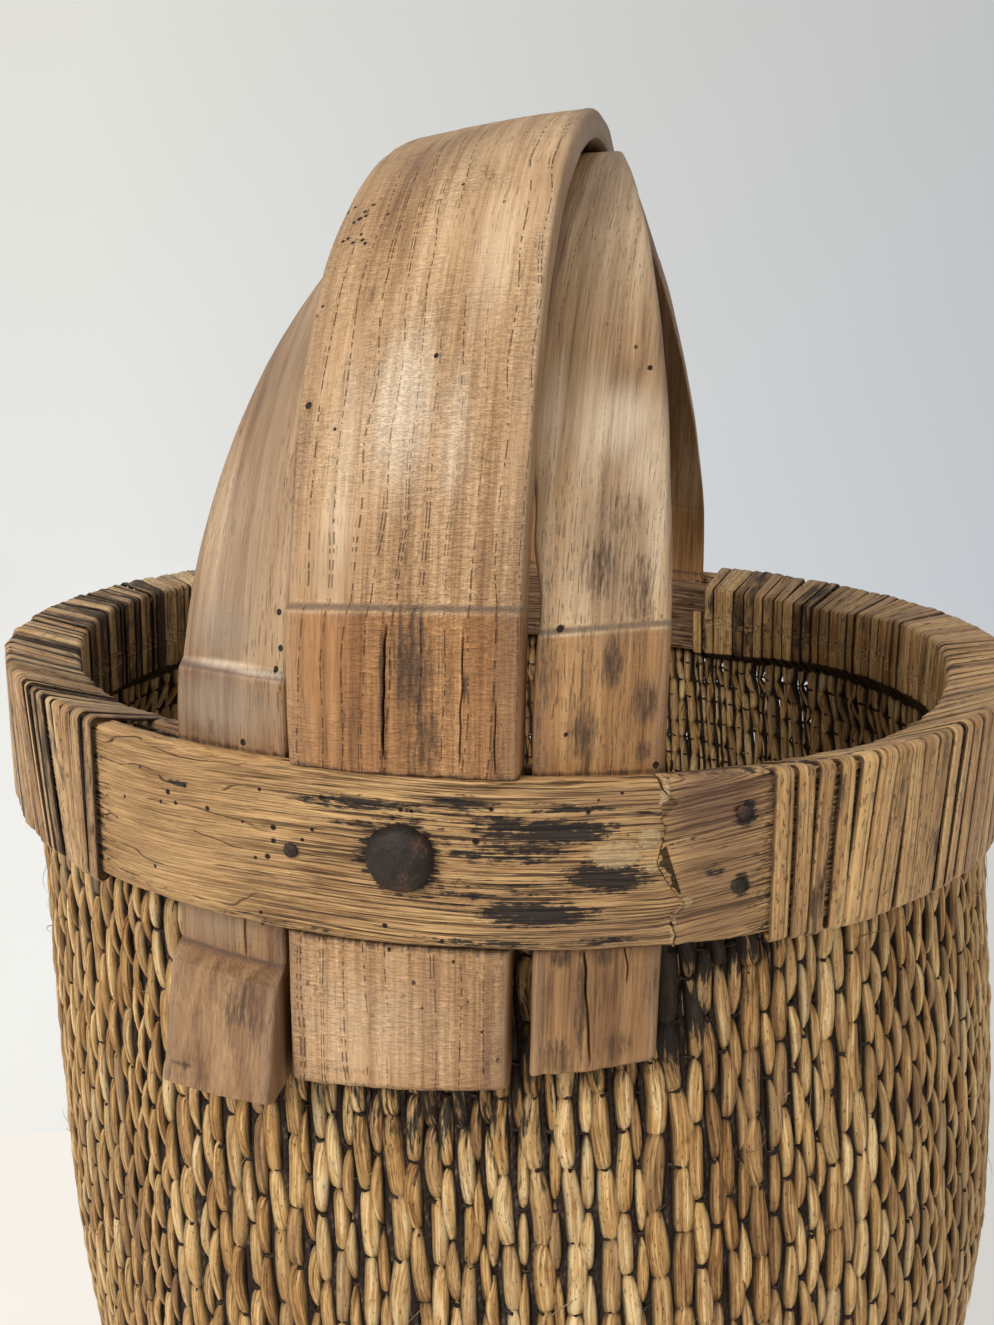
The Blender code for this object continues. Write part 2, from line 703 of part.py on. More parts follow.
def winding_route(turns, start, pitch):
    """Route of one length of cane as (layer, shift, z, angle), from mid height inside to the same place."""
    corners = turn_corners()
    middle = (1, -WRAP_STAND_OFF, WRAP_JOIN)
    loop = [middle] + corners + [middle]
    lengths = [0.0]
    for first, second in zip(loop, loop[1:]):
        step = wrap_point(*second, math.pi / 2) - wrap_point(*first, math.pi / 2)
        lengths.append(lengths[-1] + step.length)
    shares = [length / lengths[-1] for length in lengths]
    route = [(*middle, start)]
    for turn in range(turns):
        for corner, share in zip(corners, shares[1:-1]):
            route.append((*corner, start + pitch * (turn + share)))
    end = (1, -WRAP_STAND_OFF, WRAP_JOIN - WRAP_JOIN_DROP)
    route.append((*end, start + pitch * turns))
    return route


def least_gap(edges, per_turn):
    """Least distance from one edge of a strip to the other edge a turn later."""
    left, right = edges
    least = 1.0
    for place in range(len(right) - per_turn):
        for step in (-1, 0):
            after = place + per_turn + step
            if after + 1 >= len(left):
                continue
            first, second = left[after], left[after + 1]
            run = second - first
            share = min(max((right[place] - first).dot(run) / run.length_squared, 0.0), 1.0)
            least = min(least, (right[place] - first - run * share).length)
    return least


def winding(name, side, turns, start, pitch, collection, colour):
    """One length of split cane wound round the rim: a flat ribbon along its route, given its thickness."""
    half = pitch * WRAP_FILL / 2
    bm = bmesh.new()
    rows = []
    edges = ([], [])
    for layer, shift, z, angle in winding_route(turns, start, pitch):
        pair = [wrap_point(layer, shift, z, side * (angle + way * half)) for way in (-1, 1)]
        edges[0].append(pair[0])
        edges[1].append(pair[1])
        rows.append([bm.verts.new(point) for point in pair])
    for row, following in zip(rows, rows[1:]):
        corners = (row[0], row[1], following[1], following[0])
        bm.faces.new(corners if side < 0 else corners[::-1])
    mesh = bpy.data.meshes.new(name)
    bm.to_mesh(mesh)
    bm.free()
    obj = add_object(name, mesh, collection, colour)
    shell = obj.modifiers.new("thickness", "SOLIDIFY")
    shell.thickness = WRAP_THICK
    shell.offset = 1
    shell.use_even_offset = True
    gap = least_gap(edges, len(turn_corners()))
    print(name, "turns", turns, "least gap between turns mm", round(gap / MM, 2))
    return obj


def windings(collection):
    """Three lengths of cane on each side, end to end."""
    for side, word, turns, end, colour in ((1, "right", RIGHT_TURNS, RIGHT_WRAP_END, PALE_CANE),
                                           (-1, "left", LEFT_TURNS, LEFT_WRAP_END, DARK_CANE)):
        pitch = (math.pi - WRAP_START - end) / (turns * WRAP_LENGTHS + WRAP_FILL)
        for index, place in enumerate(("front", "middle", "back")):
            start = WRAP_START + pitch * (WRAP_FILL / 2 + index * turns)
            winding(word + "_cane_" + place, side, turns, start, pitch, collection, colour)


def main():
    """Build the basket."""
    clear_scene()
    parts = new_collection("harvest_basket")
    cutters = new_collection("cutters")
    woven_body(parts, cutters)
    band = hoop("rim_outer_band", BAND_HALF, BAND_THICK, 0.0, BAND_HEIGHT, parts, BAND_WOOD)
    hoop("rim_inner_band", INNER_HALF, INNER_THICK, INNER_TOP, INNER_HEIGHT, parts, BAND_WOOD)
    nails(band, handle(parts, cutters), parts, cutters)
    band_crack(band, cutters)
    windings(parts)


main()
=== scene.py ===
"""Harvest basket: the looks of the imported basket, built round its frame.

A woven willow body, two wooden rim bands bound with split cane, and a bent wood handle of three straps.
Metres, +Z up, front towards -Y. Rim pieces are worked out about the rim's middle, at the outer band's top.
"""

import logging
import math
from collections.abc import Callable, Sequence
from dataclasses import dataclass, field
from enum import Enum, IntEnum

import bpy
import numpy as np
from mathutils import Matrix, Vector
from mathutils.noise import noise as smooth_noise


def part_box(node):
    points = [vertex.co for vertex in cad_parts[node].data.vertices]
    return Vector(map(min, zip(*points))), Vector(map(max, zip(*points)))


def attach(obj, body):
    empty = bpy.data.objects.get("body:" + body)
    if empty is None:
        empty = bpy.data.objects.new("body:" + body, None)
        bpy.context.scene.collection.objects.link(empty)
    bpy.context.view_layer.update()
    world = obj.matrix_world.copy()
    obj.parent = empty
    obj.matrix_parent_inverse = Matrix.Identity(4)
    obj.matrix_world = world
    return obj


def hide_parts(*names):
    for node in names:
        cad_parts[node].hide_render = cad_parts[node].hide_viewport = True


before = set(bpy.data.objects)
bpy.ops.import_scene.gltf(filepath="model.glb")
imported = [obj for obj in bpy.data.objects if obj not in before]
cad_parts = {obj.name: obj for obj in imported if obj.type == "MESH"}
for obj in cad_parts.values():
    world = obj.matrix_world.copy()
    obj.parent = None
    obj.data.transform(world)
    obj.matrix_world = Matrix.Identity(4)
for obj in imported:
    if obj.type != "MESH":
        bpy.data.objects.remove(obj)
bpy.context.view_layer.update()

MM = 0.001
BODY = "root"
THIN_ROUND_SHARP = 80.0
log = logging.getLogger("harvest_basket")

Array = np.ndarray
Object = bpy.types.Object
Socket = bpy.types.NodeSocket
Material = bpy.types.Material
Colour = tuple[float, float, float]


class Slot(Enum):
    """Material slots of the record."""

    WILLOW = "willow"
    BAND = "band_wood"
    HANDLE = "handle_wood"
    PALE_CANE = "pale_cane"
    DARK_CANE = "dark_cane"
    IRON = "iron"


class Side(Enum):
    """The two sides of the basket, as the sign of X."""

    RIGHT = 1
    LEFT = -1


def smoothstep(value: float) -> float:
    """Ease from 0 to 1."""
    value = min(max(value, 0.0), 1.0)
    return value * value * (3 - 2 * value)


def ripple(x: float, y: float = 0.0, seed: float = 0.0) -> float:
    """Smooth noise of two coordinates, about -0.5 to 0.5.

    Args:
        x: First coordinate, in lengths of one ripple.
        y: Second coordinate.
        seed: Picks an unlike pattern.

    Returns:
        The noise there.
    """
    return 0.5 * smooth_noise(Vector((x, y, seed)))


@dataclass(frozen=True)
class Rim:
    """Sizes of the rim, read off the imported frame.

    Args:
        centre: Middle of the outer band's top, in the row frame.
        outer_half: Half widths of the outer band's outer face along X and Y.
        outer_height: Height of the outer band.
        inner_half: Half widths of the inner band's outer face.
        inner_top: Height of the inner band's top over the outer one's.
        inner_height: Height of the inner band.
    """

    centre: Vector
    outer_half: tuple[float, float]
    outer_height: float
    inner_half: tuple[float, float]
    inner_top: float
    inner_height: float

    @classmethod
    def measured(cls) -> "Rim":
        """Read the two bands' boxes.

        Returns:
            The rim's sizes.
        """
        low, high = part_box("rim_outer_band")
        inner_low, inner_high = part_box("rim_inner_band")
        middle = (low + high) / 2
        return cls(
            centre=Vector((middle.x, middle.y, high.z)),
            outer_half=((high.x - low.x) / 2, (high.y - low.y) / 2),
            outer_height=high.z - low.z,
            inner_half=((inner_high.x - inner_low.x) / 2, (inner_high.y - inner_low.y) / 2),
            inner_top=inner_high.z - high.z,
            inner_height=inner_high.z - inner_low.z,
        )

    def at(self, half: tuple[float, float], angle: float, z: float, out: float = 0.0) -> Vector:
        """Point on an oval hoop.

        Args:
            half: Half widths of the hoop along X and Y.
            angle: 0 at the front, growing towards +X.
            z: Height over the outer band's top.
            out: How far outside the hoop.

        Returns:
            The point in the row frame.
        """
        x, y = (half[0] + out) * math.sin(angle), -(half[1] + out) * math.cos(angle)
        return self.centre + Vector((x, y, z))


RIM = Rim.measured()
BAND_THICK = 8 * MM
INNER_THICK = 6.2 * MM


class RimWear:
    """How the rim has sunk inwards: heights in millimetres over the outer band's top, by degrees from the front."""

    INNER_EDGE = ((-180, -2), (-151, -1), (-110, 3), (-85, 3), (-62, -2), (-45, -4), (-30, -4), (-24, -2), (8, -2),
                  (15, -8), (28, -7), (52, -7.5), (64, -6), (76, -2), (92, 2.5), (108, 2), (128, -3.5), (152, -3),
                  (165, -2), (180, -2))
    OUTER_EDGE = ((-180, 4), (-60, 4.6), (-45, 4.4), (-33, 3.4), (-27, 1.8), (27, 1.6), (40, 2.0), (50, 3.2),
                  (62, 4.4), (120, 4.8), (180, 3.4))
    LOWER_EDGE = ((-180, -41), (-150, -38), (-88, -38), (-30, -40), (28, -36), (92, -30), (119, -33.5), (129, -35.5),
                  (140, -39.7), (154, -44), (180, -41))

    @staticmethod
    def at(edge: tuple[tuple[float, float], ...], degrees: Array) -> Array:
        """Heights of an edge, in metres, at places round the rim."""
        keys = np.array(edge, float)
        return np.interp((degrees + 180) % 360 - 180, keys[:, 0], keys[:, 1]) * MM


# Shader nodes


class Value:
    """A number in a node tree; arithmetic on it adds Math nodes."""

    def __init__(self, recipe: "Recipe", socket: Socket) -> None:
        """Wrap a socket."""
        self.recipe = recipe
        self.socket = socket

    def _math(self, operation: str, first: object, second: object, clamp: bool = False) -> "Value":
        """Add one Math node.

        Args:
            operation: The node's operation.
            first: First number or value.
            second: Second number or value.
            clamp: Whether the result stays between 0 and 1.

        Returns:
            The result.
        """
        made = self.recipe.node("ShaderNodeMath", {"operation": operation, "use_clamp": clamp},
                                {0: first, 1: second})
        return Value(self.recipe, made.outputs[0])

    def __add__(self, other: object) -> "Value":
        """Sum."""
        return self._math("ADD", self, other)

    __radd__ = __add__

    def __sub__(self, other: object) -> "Value":
        """Difference."""
        return self._math("SUBTRACT", self, other)

    def __rsub__(self, other: object) -> "Value":
        """Difference from a number."""
        return self._math("SUBTRACT", other, self)

    def __mul__(self, other: object) -> "Value":
        """Product."""
        return self._math("MULTIPLY", self, other)

    __rmul__ = __mul__

    def __abs__(self) -> "Value":
        """Size without sign."""
        return self._math("ABSOLUTE", self, 0.0)

    def most(self, other: object) -> "Value":
        """The larger of two."""
        return self._math("MAXIMUM", self, other)

    def fraction(self) -> "Value":
        """The part after the point."""
        return self._math("FRACT", self, 0.0)

    def clamped(self) -> "Value":
        """Kept between 0 and 1."""
        return self._math("ADD", self, 0.0, clamp=True)

    def between(self, low: float, high: float) -> "Value":
        """Ease from 0 at low to 1 at high; low may be the greater.

        Args:
            low: Where it is 0.
            high: Where it is 1.

        Returns:
            The eased value.
        """
        flipped = low > high
        first, second = (high, low) if flipped else (low, high)
        made = self.recipe.node("ShaderNodeMapRange", {"interpolation_type": "SMOOTHSTEP"},
                                {"Value": self, "From Min": first, "From Max": second})
        eased = Value(self.recipe, made.outputs["Result"])
        return 1.0 - eased if flipped else eased


class Recipe:
    """The node tree of one finish."""

    def __init__(self, name: str) -> None:
        """Start a material that holds a Principled shader and its output.

        Args:
            name: The material's name.
        """
        self.material = bpy.data.materials.new(name)
        self.material.use_nodes = True
        self.tree = self.material.node_tree
        self.tree.nodes.clear()
        self.output = self.node("ShaderNodeOutputMaterial")
        self.shader = self.node("ShaderNodeBsdfPrincipled")
        self.tree.links.new(self.shader.outputs[0], self.output.inputs["Surface"])

    def node(self, kind: str, settings: dict | None = None, sockets: dict | None = None) -> bpy.types.Node:
        """Add a node.

        Args:
            kind: Its type's name.
            settings: Its properties; "stops" are a ramp's (place, colour) pairs.
            sockets: Values or links for its inputs, by name or number.

        Returns:
            The node.
        """
        made = self.tree.nodes.new(kind)
        for word, setting in (settings or {}).items():
            if word == "stops":
                self._stops(made.color_ramp, setting)
            else:
                setattr(made, word, setting)
        for socket, value in (sockets or {}).items():
            self.put(made.inputs[socket], value)
        return made

    @staticmethod
    def _stops(ramp: bpy.types.ColorRamp, stops: Sequence[tuple[float, Colour]]) -> None:
        """Set a ramp's stops.

        Args:
            ramp: The ramp.
            stops: Places and colours, in order.
        """
        while len(ramp.elements) < len(stops):
            ramp.elements.new(0.5)
        for element, (place, colour) in zip(ramp.elements, stops):
            element.position = place
            element.color = (*colour, 1.0)

    def put(self, socket: Socket, value: object) -> None:
        """Link or set an input.

        Args:
            socket: The input.
            value: A value or socket to link, or a constant.
        """
        if isinstance(value, Value):
            self.tree.links.new(value.socket, socket)
        elif isinstance(value, Socket):
            self.tree.links.new(value, socket)
        elif isinstance(value, tuple) and socket.type == "RGBA":
            socket.default_value = (*value, 1.0)
        else:
            socket.default_value = value

    def attribute(self, name: str) -> Socket:
        """A vector kept on the piece's corners."""
        return self.node("ShaderNodeAttribute", {"attribute_name": name}).outputs["Vector"]

    def place(self) -> Socket:
        """Object coordinates, which are the row frame."""
        return self.node("ShaderNodeTexCoord").outputs["Object"]

    def parts(self, vector: Socket) -> tuple[Value, Value, Value]:
        """The three numbers of a vector."""
        split = self.node("ShaderNodeSeparateXYZ", None, {0: vector})
        return tuple(Value(self, socket) for socket in split.outputs)

    def stretched(self, vector: Socket, by: Colour,
                  shift: Colour = (0.0, 0.0, 0.0)) -> Socket:
        """A vector times and plus constants."""
        made = self.node("ShaderNodeVectorMath", {"operation": "MULTIPLY_ADD"}, {0: vector, 1: by, 2: shift})
        return made.outputs["Vector"]

    def noise(self, vector: Socket, by: Colour, detail: float = 3.0,
              roughness: float = 0.55, shift: Colour = (0.0, 0.0, 0.0)) -> Value:
        """Noise of a stretched vector, about 0.5 on average.

        Args:
            vector: Coordinates.
            by: What they are multiplied by.
            detail: Number of finer layers.
            roughness: Weight of the finer layers.
            shift: How far the pattern is moved.

        Returns:
            The noise.
        """
        moved = self.stretched(vector, by, shift)
        made = self.node("ShaderNodeTexNoise", None,
                         {"Vector": moved, "Scale": 1.0, "Detail": detail, "Roughness": roughness})
        return Value(self, made.outputs[0])

    def cells(self, vector: Socket, by: Colour, randomness: float = 1.0) -> Value:
        """Distance to the nearest of scattered points, in a stretched vector's units.

        Args:
            vector: Coordinates.
            by: What they are multiplied by.
            randomness: How scattered the points are.

        Returns:
            The distance.
        """
        made = self.node("ShaderNodeTexVoronoi", None,
                         {"Vector": self.stretched(vector, by), "Scale": 1.0, "Randomness": randomness})
        return Value(self, made.outputs["Distance"])

    def ramp(self, value: Value, *stops: tuple[float, Colour]) -> Socket:
        """Colour ramp over a value."""
        return self.node("ShaderNodeValToRGB", {"stops": stops}, {0: value}).outputs["Color"]

    def mix(self, share: object, first: object, second: object, kind: str = "MIX") -> Socket:
        """Mix two colours.

        Args:
            share: 0 gives the first, 1 the second.
            first: A colour or its socket.
            second: A colour or its socket.
            kind: Blend type.

        Returns:
            The mixed colour.
        """
        made = self.node("ShaderNodeMix", {"data_type": "RGBA", "blend_type": kind, "clamp_factor": True})
        for place, value in ((0, share), (6, first), (7, second)):
            self.put(made.inputs[place], value)
        return made.outputs[2]

    def dots(self, vector: Socket, places: Sequence[tuple[float, float, float]],
             squash: float = 1.0) -> Value:
        """Small round marks.

        Args:
            vector: Coordinates on the surface, in metres; the third isn't used.
            places: Middle (first and second coordinate) and radius of each mark, in millimetres.
            squash: How many times longer a mark is along the second coordinate.

        Returns:
            1 in a mark and 0 outside.
        """
        flat = self.stretched(vector, (1000.0, 1000.0 / squash, 0.0))
        found: Value | None = None
        for x, y, radius in places:
            apart = self.node("ShaderNodeVectorMath", {"operation": "DISTANCE"}, {0: flat, 1: (x, y / squash, 0.0)})
            mark = Value(self, apart.outputs["Value"]).between(radius * 1.25, radius * 0.75)
            found = mark if found is None else found.most(mark)
        return found

    def finish(self, colour: object, roughness: object, height: object = None, depth: float = 0.0,
               **fixed: float) -> Material:
        """Wire the shader.

        Args:
            colour: Base colour or its socket.
            roughness: Roughness or its value.
            height: Value that raises the surface, if any.
            depth: How far it raises it, in metres.
            fixed: Other inputs' constants, underscores for spaces.

        Returns:
            The material.
        """
        self.put(self.shader.inputs["Base Color"], colour)
        self.put(self.shader.inputs["Roughness"], roughness)
        for word, value in fixed.items():
            self.put(self.shader.inputs[word.replace("_", " ")], value)
        if height is not None:
            bump = self.node("ShaderNodeBump", None, {"Height": height, "Distance": depth, "Strength": 1.0})
            self.put(self.shader.inputs["Normal"], bump.outputs["Normal"])
        return self.material


# Finishes


@dataclass(frozen=True)
class WillowFinish:
    """Aged willow rods: golden to grey brown, fibrous, with painted shade and dirt between the rods.

    Args:
        name: Material's name.
    """

    name: str = "aged_willow"

    def make(self) -> Material:
        """Build the material; kind holds (tone, grey, gap), gap being painted shade, and lay (across, along, rod).

        Returns:
            The material.
        """
        recipe = Recipe(self.name)
        noise, mix = recipe.noise, recipe.mix
        lay = recipe.attribute("lay")
        tone, grey, gap = recipe.parts(recipe.attribute("kind"))
        place = recipe.place()
        fibre = noise(lay, (2300.0, 48.0, 9.0), 4.0, 0.7)
        strip = noise(lay, (900.0, 30.0, 7.0), 3.0, 0.6, (3.0, 0.0, 0.0))
        blotch = noise(lay, (260.0, 70.0, 5.0), 3.0, 0.6)
        patch = noise(place, (9.0, 9.0, 7.0), 2.0)
        shade = (tone * 0.5 + blotch * 0.9 + fibre * 0.9 + strip * 1.5 + patch * 0.4 - 1.49).clamped()
        wood = recipe.ramp(shade, (0.06, (0.075, 0.03, 0.009)), (0.28, (0.225, 0.106, 0.034)),
                           (0.5, (0.45, 0.245, 0.086)), (0.72, (0.67, 0.41, 0.16)),
                           (0.95, (0.9, 0.67, 0.36)))
        dull = mix(fibre, (0.1, 0.07, 0.048), (0.4, 0.3, 0.205))
        wood = mix((grey * 0.65).clamped(), wood, dull)
        rust = noise(lay, (420.0, 150.0, 3.0), 2.0, 0.5, (7.0, 3.0, 1.0)).between(0.58, 0.72)
        wood = mix(rust * 0.5, wood, (0.21, 0.08, 0.032))
        speck = noise(lay, (1500.0, 420.0, 2.0), 2.0, 0.5, (1.0, 9.0, 4.0)).between(0.62, 0.72)
        wood = mix(speck * 0.7, wood, (0.045, 0.024, 0.013))
        soot = recipe.attribute("soot")
        sooty = noise(lay, (700.0, 90.0, 3.0), 3.0, 0.65, (2.0, 2.0, 7.0))
        black = (recipe.parts(soot)[0] * 1.5 + (sooty - 0.5) * 2.4 + (blotch - 0.5) * 1.2 - 0.5).between(0.0, 0.45)
        wood = mix(black * 0.95, wood, (0.013, 0.012, 0.012))
        # Painted shade with some dirt: darkest in the gaps, on the rods' flanks and at their pinches.
        shade_and_dirt = (gap + (blotch - 0.5) * 0.5 + (fibre - 0.5) * 0.25).between(0.16, 0.84)
        wood = mix(shade_and_dirt * 0.97, wood, (0.013, 0.0065, 0.003))
        rough = 0.36 + fibre * 0.28 + grey * 0.12 + shade_and_dirt * 0.2
        height = fibre * 0.8 + strip * 0.7 + blotch * 0.6 - speck * 0.6
        return recipe.finish(wood, rough, height, 0.0007, Specular_IOR_Level=0.15)


@dataclass(frozen=True)
class CordFinish:
    """Dark twisted hemp cord with pale worn hairs.

    Args:
        name: Material's name.
        dark: Colour in the twist.
        pale: Colour of the worn strands.
    """

    name: str = "binding_cord"
    dark: Colour = (0.022, 0.013, 0.009)
    pale: Colour = (0.2, 0.145, 0.1)

    def make(self) -> Material:
        """Build the material; lay holds (round, along, row).

        Returns:
            The material.
        """
        recipe = Recipe(self.name)
        noise, mix = recipe.noise, recipe.mix
        lay = recipe.attribute("lay")
        round_, along, _ = recipe.parts(lay)
        twist = recipe.node("ShaderNodeMath", {"operation": "SINE"},
                            {0: round_ * 2.0 + along * 1900.0})
        strand = Value(recipe, twist.outputs[0]) * 0.5 + 0.5
        worn = noise(lay, (1.0, 120.0, 3.0), 3.0, 0.6)
        fuzz = noise(lay, (3.0, 1500.0, 2.0), 2.0)
        share = (worn.between(0.5, 0.78) * (0.35 + strand * 0.65) * (0.5 + fuzz)).clamped()
        colour = mix(share, self.dark, self.pale)
        return recipe.finish(colour, 0.85, strand * 0.7 + fuzz * 0.5, 0.0005, Specular_IOR_Level=0.2)


@dataclass(frozen=True)
class HandleFinish:
    """Bent open-grained wood, polished by hands, with painted sheen and painted shade on the side faces: dashed
    pores along it and fine flecks across it.

    Args:
        name: Material's name.
        pale: Lightest wood.
        mid: Middle tone.
        deep: Darkest wood.
        flecks: Strength of the flecks across the grain.
        pores: Strength of the rows of pores.
        scratches: Strength of the short scratches.
        polish: Lowest roughness.
        foot_tint: What the blocks at the rim multiply the wood by.
        shift: How far the pattern is moved along the strap.
        ledge: Colour of the worn ledges over the blocks.
        holes: Worm holes: millimetres across and along, and radius.
    """

    name: str
    pale: Colour
    mid: Colour
    deep: Colour
    flecks: float = 0.75
    pores: float = 0.9
    scratches: float = 0.35
    polish: float = 0.4
    foot_tint: Colour = (0.81, 0.665, 0.52)
    shift: float = 1.0
    ledge: Colour = (0.165, 0.115, 0.078)
    holes: tuple[tuple[float, float, float], ...] = ()

    def make(self) -> Material:
        """Build the material.

        Its attributes are lay (across, along, depth), mark (stain, grey, painted sheen) and grain (block, side
        face's painted shade, ledge).

        Returns:
            The material.
        """
        recipe = Recipe(self.name)
        noise, mix = recipe.noise, recipe.mix
        lay = recipe.attribute("lay")
        stain, grey, painted_sheen_mark = recipe.parts(recipe.attribute("mark"))
        foot, side, ledge = recipe.parts(recipe.attribute("grain"))
        broad = noise(lay, (95.0, 4.0, 60.0), 3.0, 0.5)
        cloud = noise(lay, (24.0, 10.0, 22.0), 3.0, 0.55, (3.0, 1.0, 0.0))
        streak = noise(lay, (420.0, 9.0, 200.0), 3.0, 0.6, (4.0, 4.0, 0.0))
        fibre = noise(lay, (1600.0, 42.0, 900.0), 4.0, 0.65)
        # side is painted shade on the side faces: it lowers the shade here and darkens the wood below.
        shade = (broad * 0.9 + streak * 0.75 + cloud + fibre * 0.7 - foot * 0.1 - side * 0.06 - 1.16).clamped()
        wood = recipe.ramp(shade, (0.14, self.deep), (0.48, self.mid), (0.84, self.pale))
        wood = mix(foot, wood, mix(1.0, wood, self.foot_tint, "MULTIPLY"))
        wood = mix(side * (1.0 - foot) * 0.85, wood, mix(1.0, wood, (0.56, 0.5, 0.44), "MULTIPLY"))
        x, _, _ = recipe.parts(lay)
        wander = noise(lay, (16.0, 6.0, 0.0), 3.0, 0.55, (0.0, 2.0, 5.0))
        row = (x * 150.0 + wander * 3.6).fraction()
        near_row = abs(row - 0.5).between(0.034, 0.008)
        near_row = near_row * noise(lay, (40.0, 7.0, 0.0), 1.0, 0.5, (1.0, 6.0, 0.0)).between(0.38, 0.48)
        twin = abs((row + 0.14).fraction() - 0.5).between(0.028, 0.008)
        twin = twin * noise(lay, (60.0, 20.0, 0.0), 1.0, 0.5, (4.0, 1.0, 0.0)).between(0.54, 0.6)
        dash = noise(lay, (60.0, 400.0, 60.0), 1.5, 0.55, (5.0, 0.0, 1.0)).between(0.47, 0.54)
        pores = (near_row.most(twin) * dash * self.pores * (1.0 - side)).clamped()
        fine = noise(lay, (1900.0, 150.0, 800.0), 1.0, 0.5, (2.0, 7.0, 0.0)).between(0.64, 0.71)
        scratch = (fine * cloud.between(0.42, 0.62) * self.scratches).clamped()
        ray = noise(lay, (260.0, 1250.0, 150.0), 2.0, 0.55, (0.0, 4.0, 2.0))
        patch = noise(lay, (30.0, 14.0, 20.0), 2.0, 0.5, (9.0, 2.0, 0.0)).between(0.3, 0.55)
        light = (ray.between(0.53, 0.63) * patch * self.flecks * (1.0 - side)).clamped()
        shadow = (ray.between(0.46, 0.36) * patch * self.flecks * (1.0 - side)).clamped()
        fleck = mix(1.0, wood, (1.42, 1.44, 1.46), "MULTIPLY")
        wood = mix(light * 0.75, wood, fleck)
        wood = mix(shadow * 0.42, wood, self.deep)
        wood = mix(scratch * 0.7, wood, (0.1, 0.052, 0.026))
        wood = mix(pores * 0.82, wood, (0.07, 0.036, 0.018))
        worn = mix(fibre * 0.6 + streak * 0.4, (0.15, 0.1, 0.066), (0.41, 0.305, 0.205))
        wood = mix((grey * (0.35 + broad * 0.7 + streak * 0.6)).clamped(), wood, worn)
        wood = mix((ledge * (0.45 + streak)).clamped() * 0.88, wood, self.ledge)
        # Painted sheen: a whitish highlight where the mark's third number is raised.
        sheen = (painted_sheen_mark * (0.3 + streak * 0.9 + (cloud - 0.5) * 0.8)).clamped()
        wood = mix(sheen * 0.75, wood, (0.83, 0.69, 0.51))
        soak = noise(lay, (620.0, 26.0, 300.0), 4.0, 0.68, (4.0, 7.0, 0.0))
        mottle = noise(lay, (1000.0, 190.0, 300.0), 4.0, 0.72, (6.0, 5.0, 0.0))
        soaked = (stain * 1.25 + (soak - 0.5) * 1.5 + (mottle - 0.5) * 1.7 + (cloud - 0.5) * 0.6 - 0.36)
        soaked = soaked.between(0.0, 0.85)
        wood = mix(soaked * 0.88, wood, (0.052, 0.029, 0.017))
        worms = recipe.cells(lay, (150.0, 110.0, 0.0)).between(0.1, 0.06)
        worms = worms * noise(lay, (15.0, 9.0, 0.0), 1.0, 0.5, (8.0, 8.0, 3.0)).between(0.6, 0.64)
        placed = recipe.stretched(lay, (1.0, 1.0, 0.0), (0.0, -self.shift, 0.0))
        hole = worms.most(recipe.dots(placed, self.holes, 1.2)) if self.holes else worms
        hole = hole * (1.0 - side.between(0.7, 0.9))
        wood = mix(hole, wood, (0.016, 0.008, 0.005))
        rough = self.polish + fibre * 0.16 + pores * 0.3 + grey * 0.16 + soaked * 0.1
        height = (fibre * 0.35 + streak * 0.5 - pores * 1.1 - scratch * 0.7 + light * 0.5 - shadow * 0.4 - hole * 1.5
                  + soak * 0.25)
        return recipe.finish(wood, rough, height, 0.00075, Specular_IOR_Level=0.32)


# Worm holes of the three straps: millimetres across and along, and radius
CENTRE_WORMS = (
    (-32, 182, 0.55), (-30, 184, 0.45), (-26, 180, 0.6), (-27, 176.5, 0.75), (-25.3, 177.5, 0.5), (-28.5, 175, 0.5),
    (-24, 183, 0.55), (-30, 166, 0.5), (-28.6, 167, 0.5), (-26.6, 164.5, 0.5), (-23.8, 165, 0.6), (-24.8, 168, 0.5),
    (-30.1, 106, 0.85), (3, 186, 0.5), (4.8, 118, 0.6), (-21.5, 98, 0.4),
)
RIGHT_WORMS = ((42.2, 42, 0.9), (60.8, 121, 0.7), (45, 12, 0.5), (69.5, 2, 0.8))
LEFT_WORMS = ((-37.5, 40, 0.7), (-36.5, 30, 0.7), (-37.8, 24, 0.7), (-48.1, 2.5, 0.8), (-43.8, -53, 0.7))


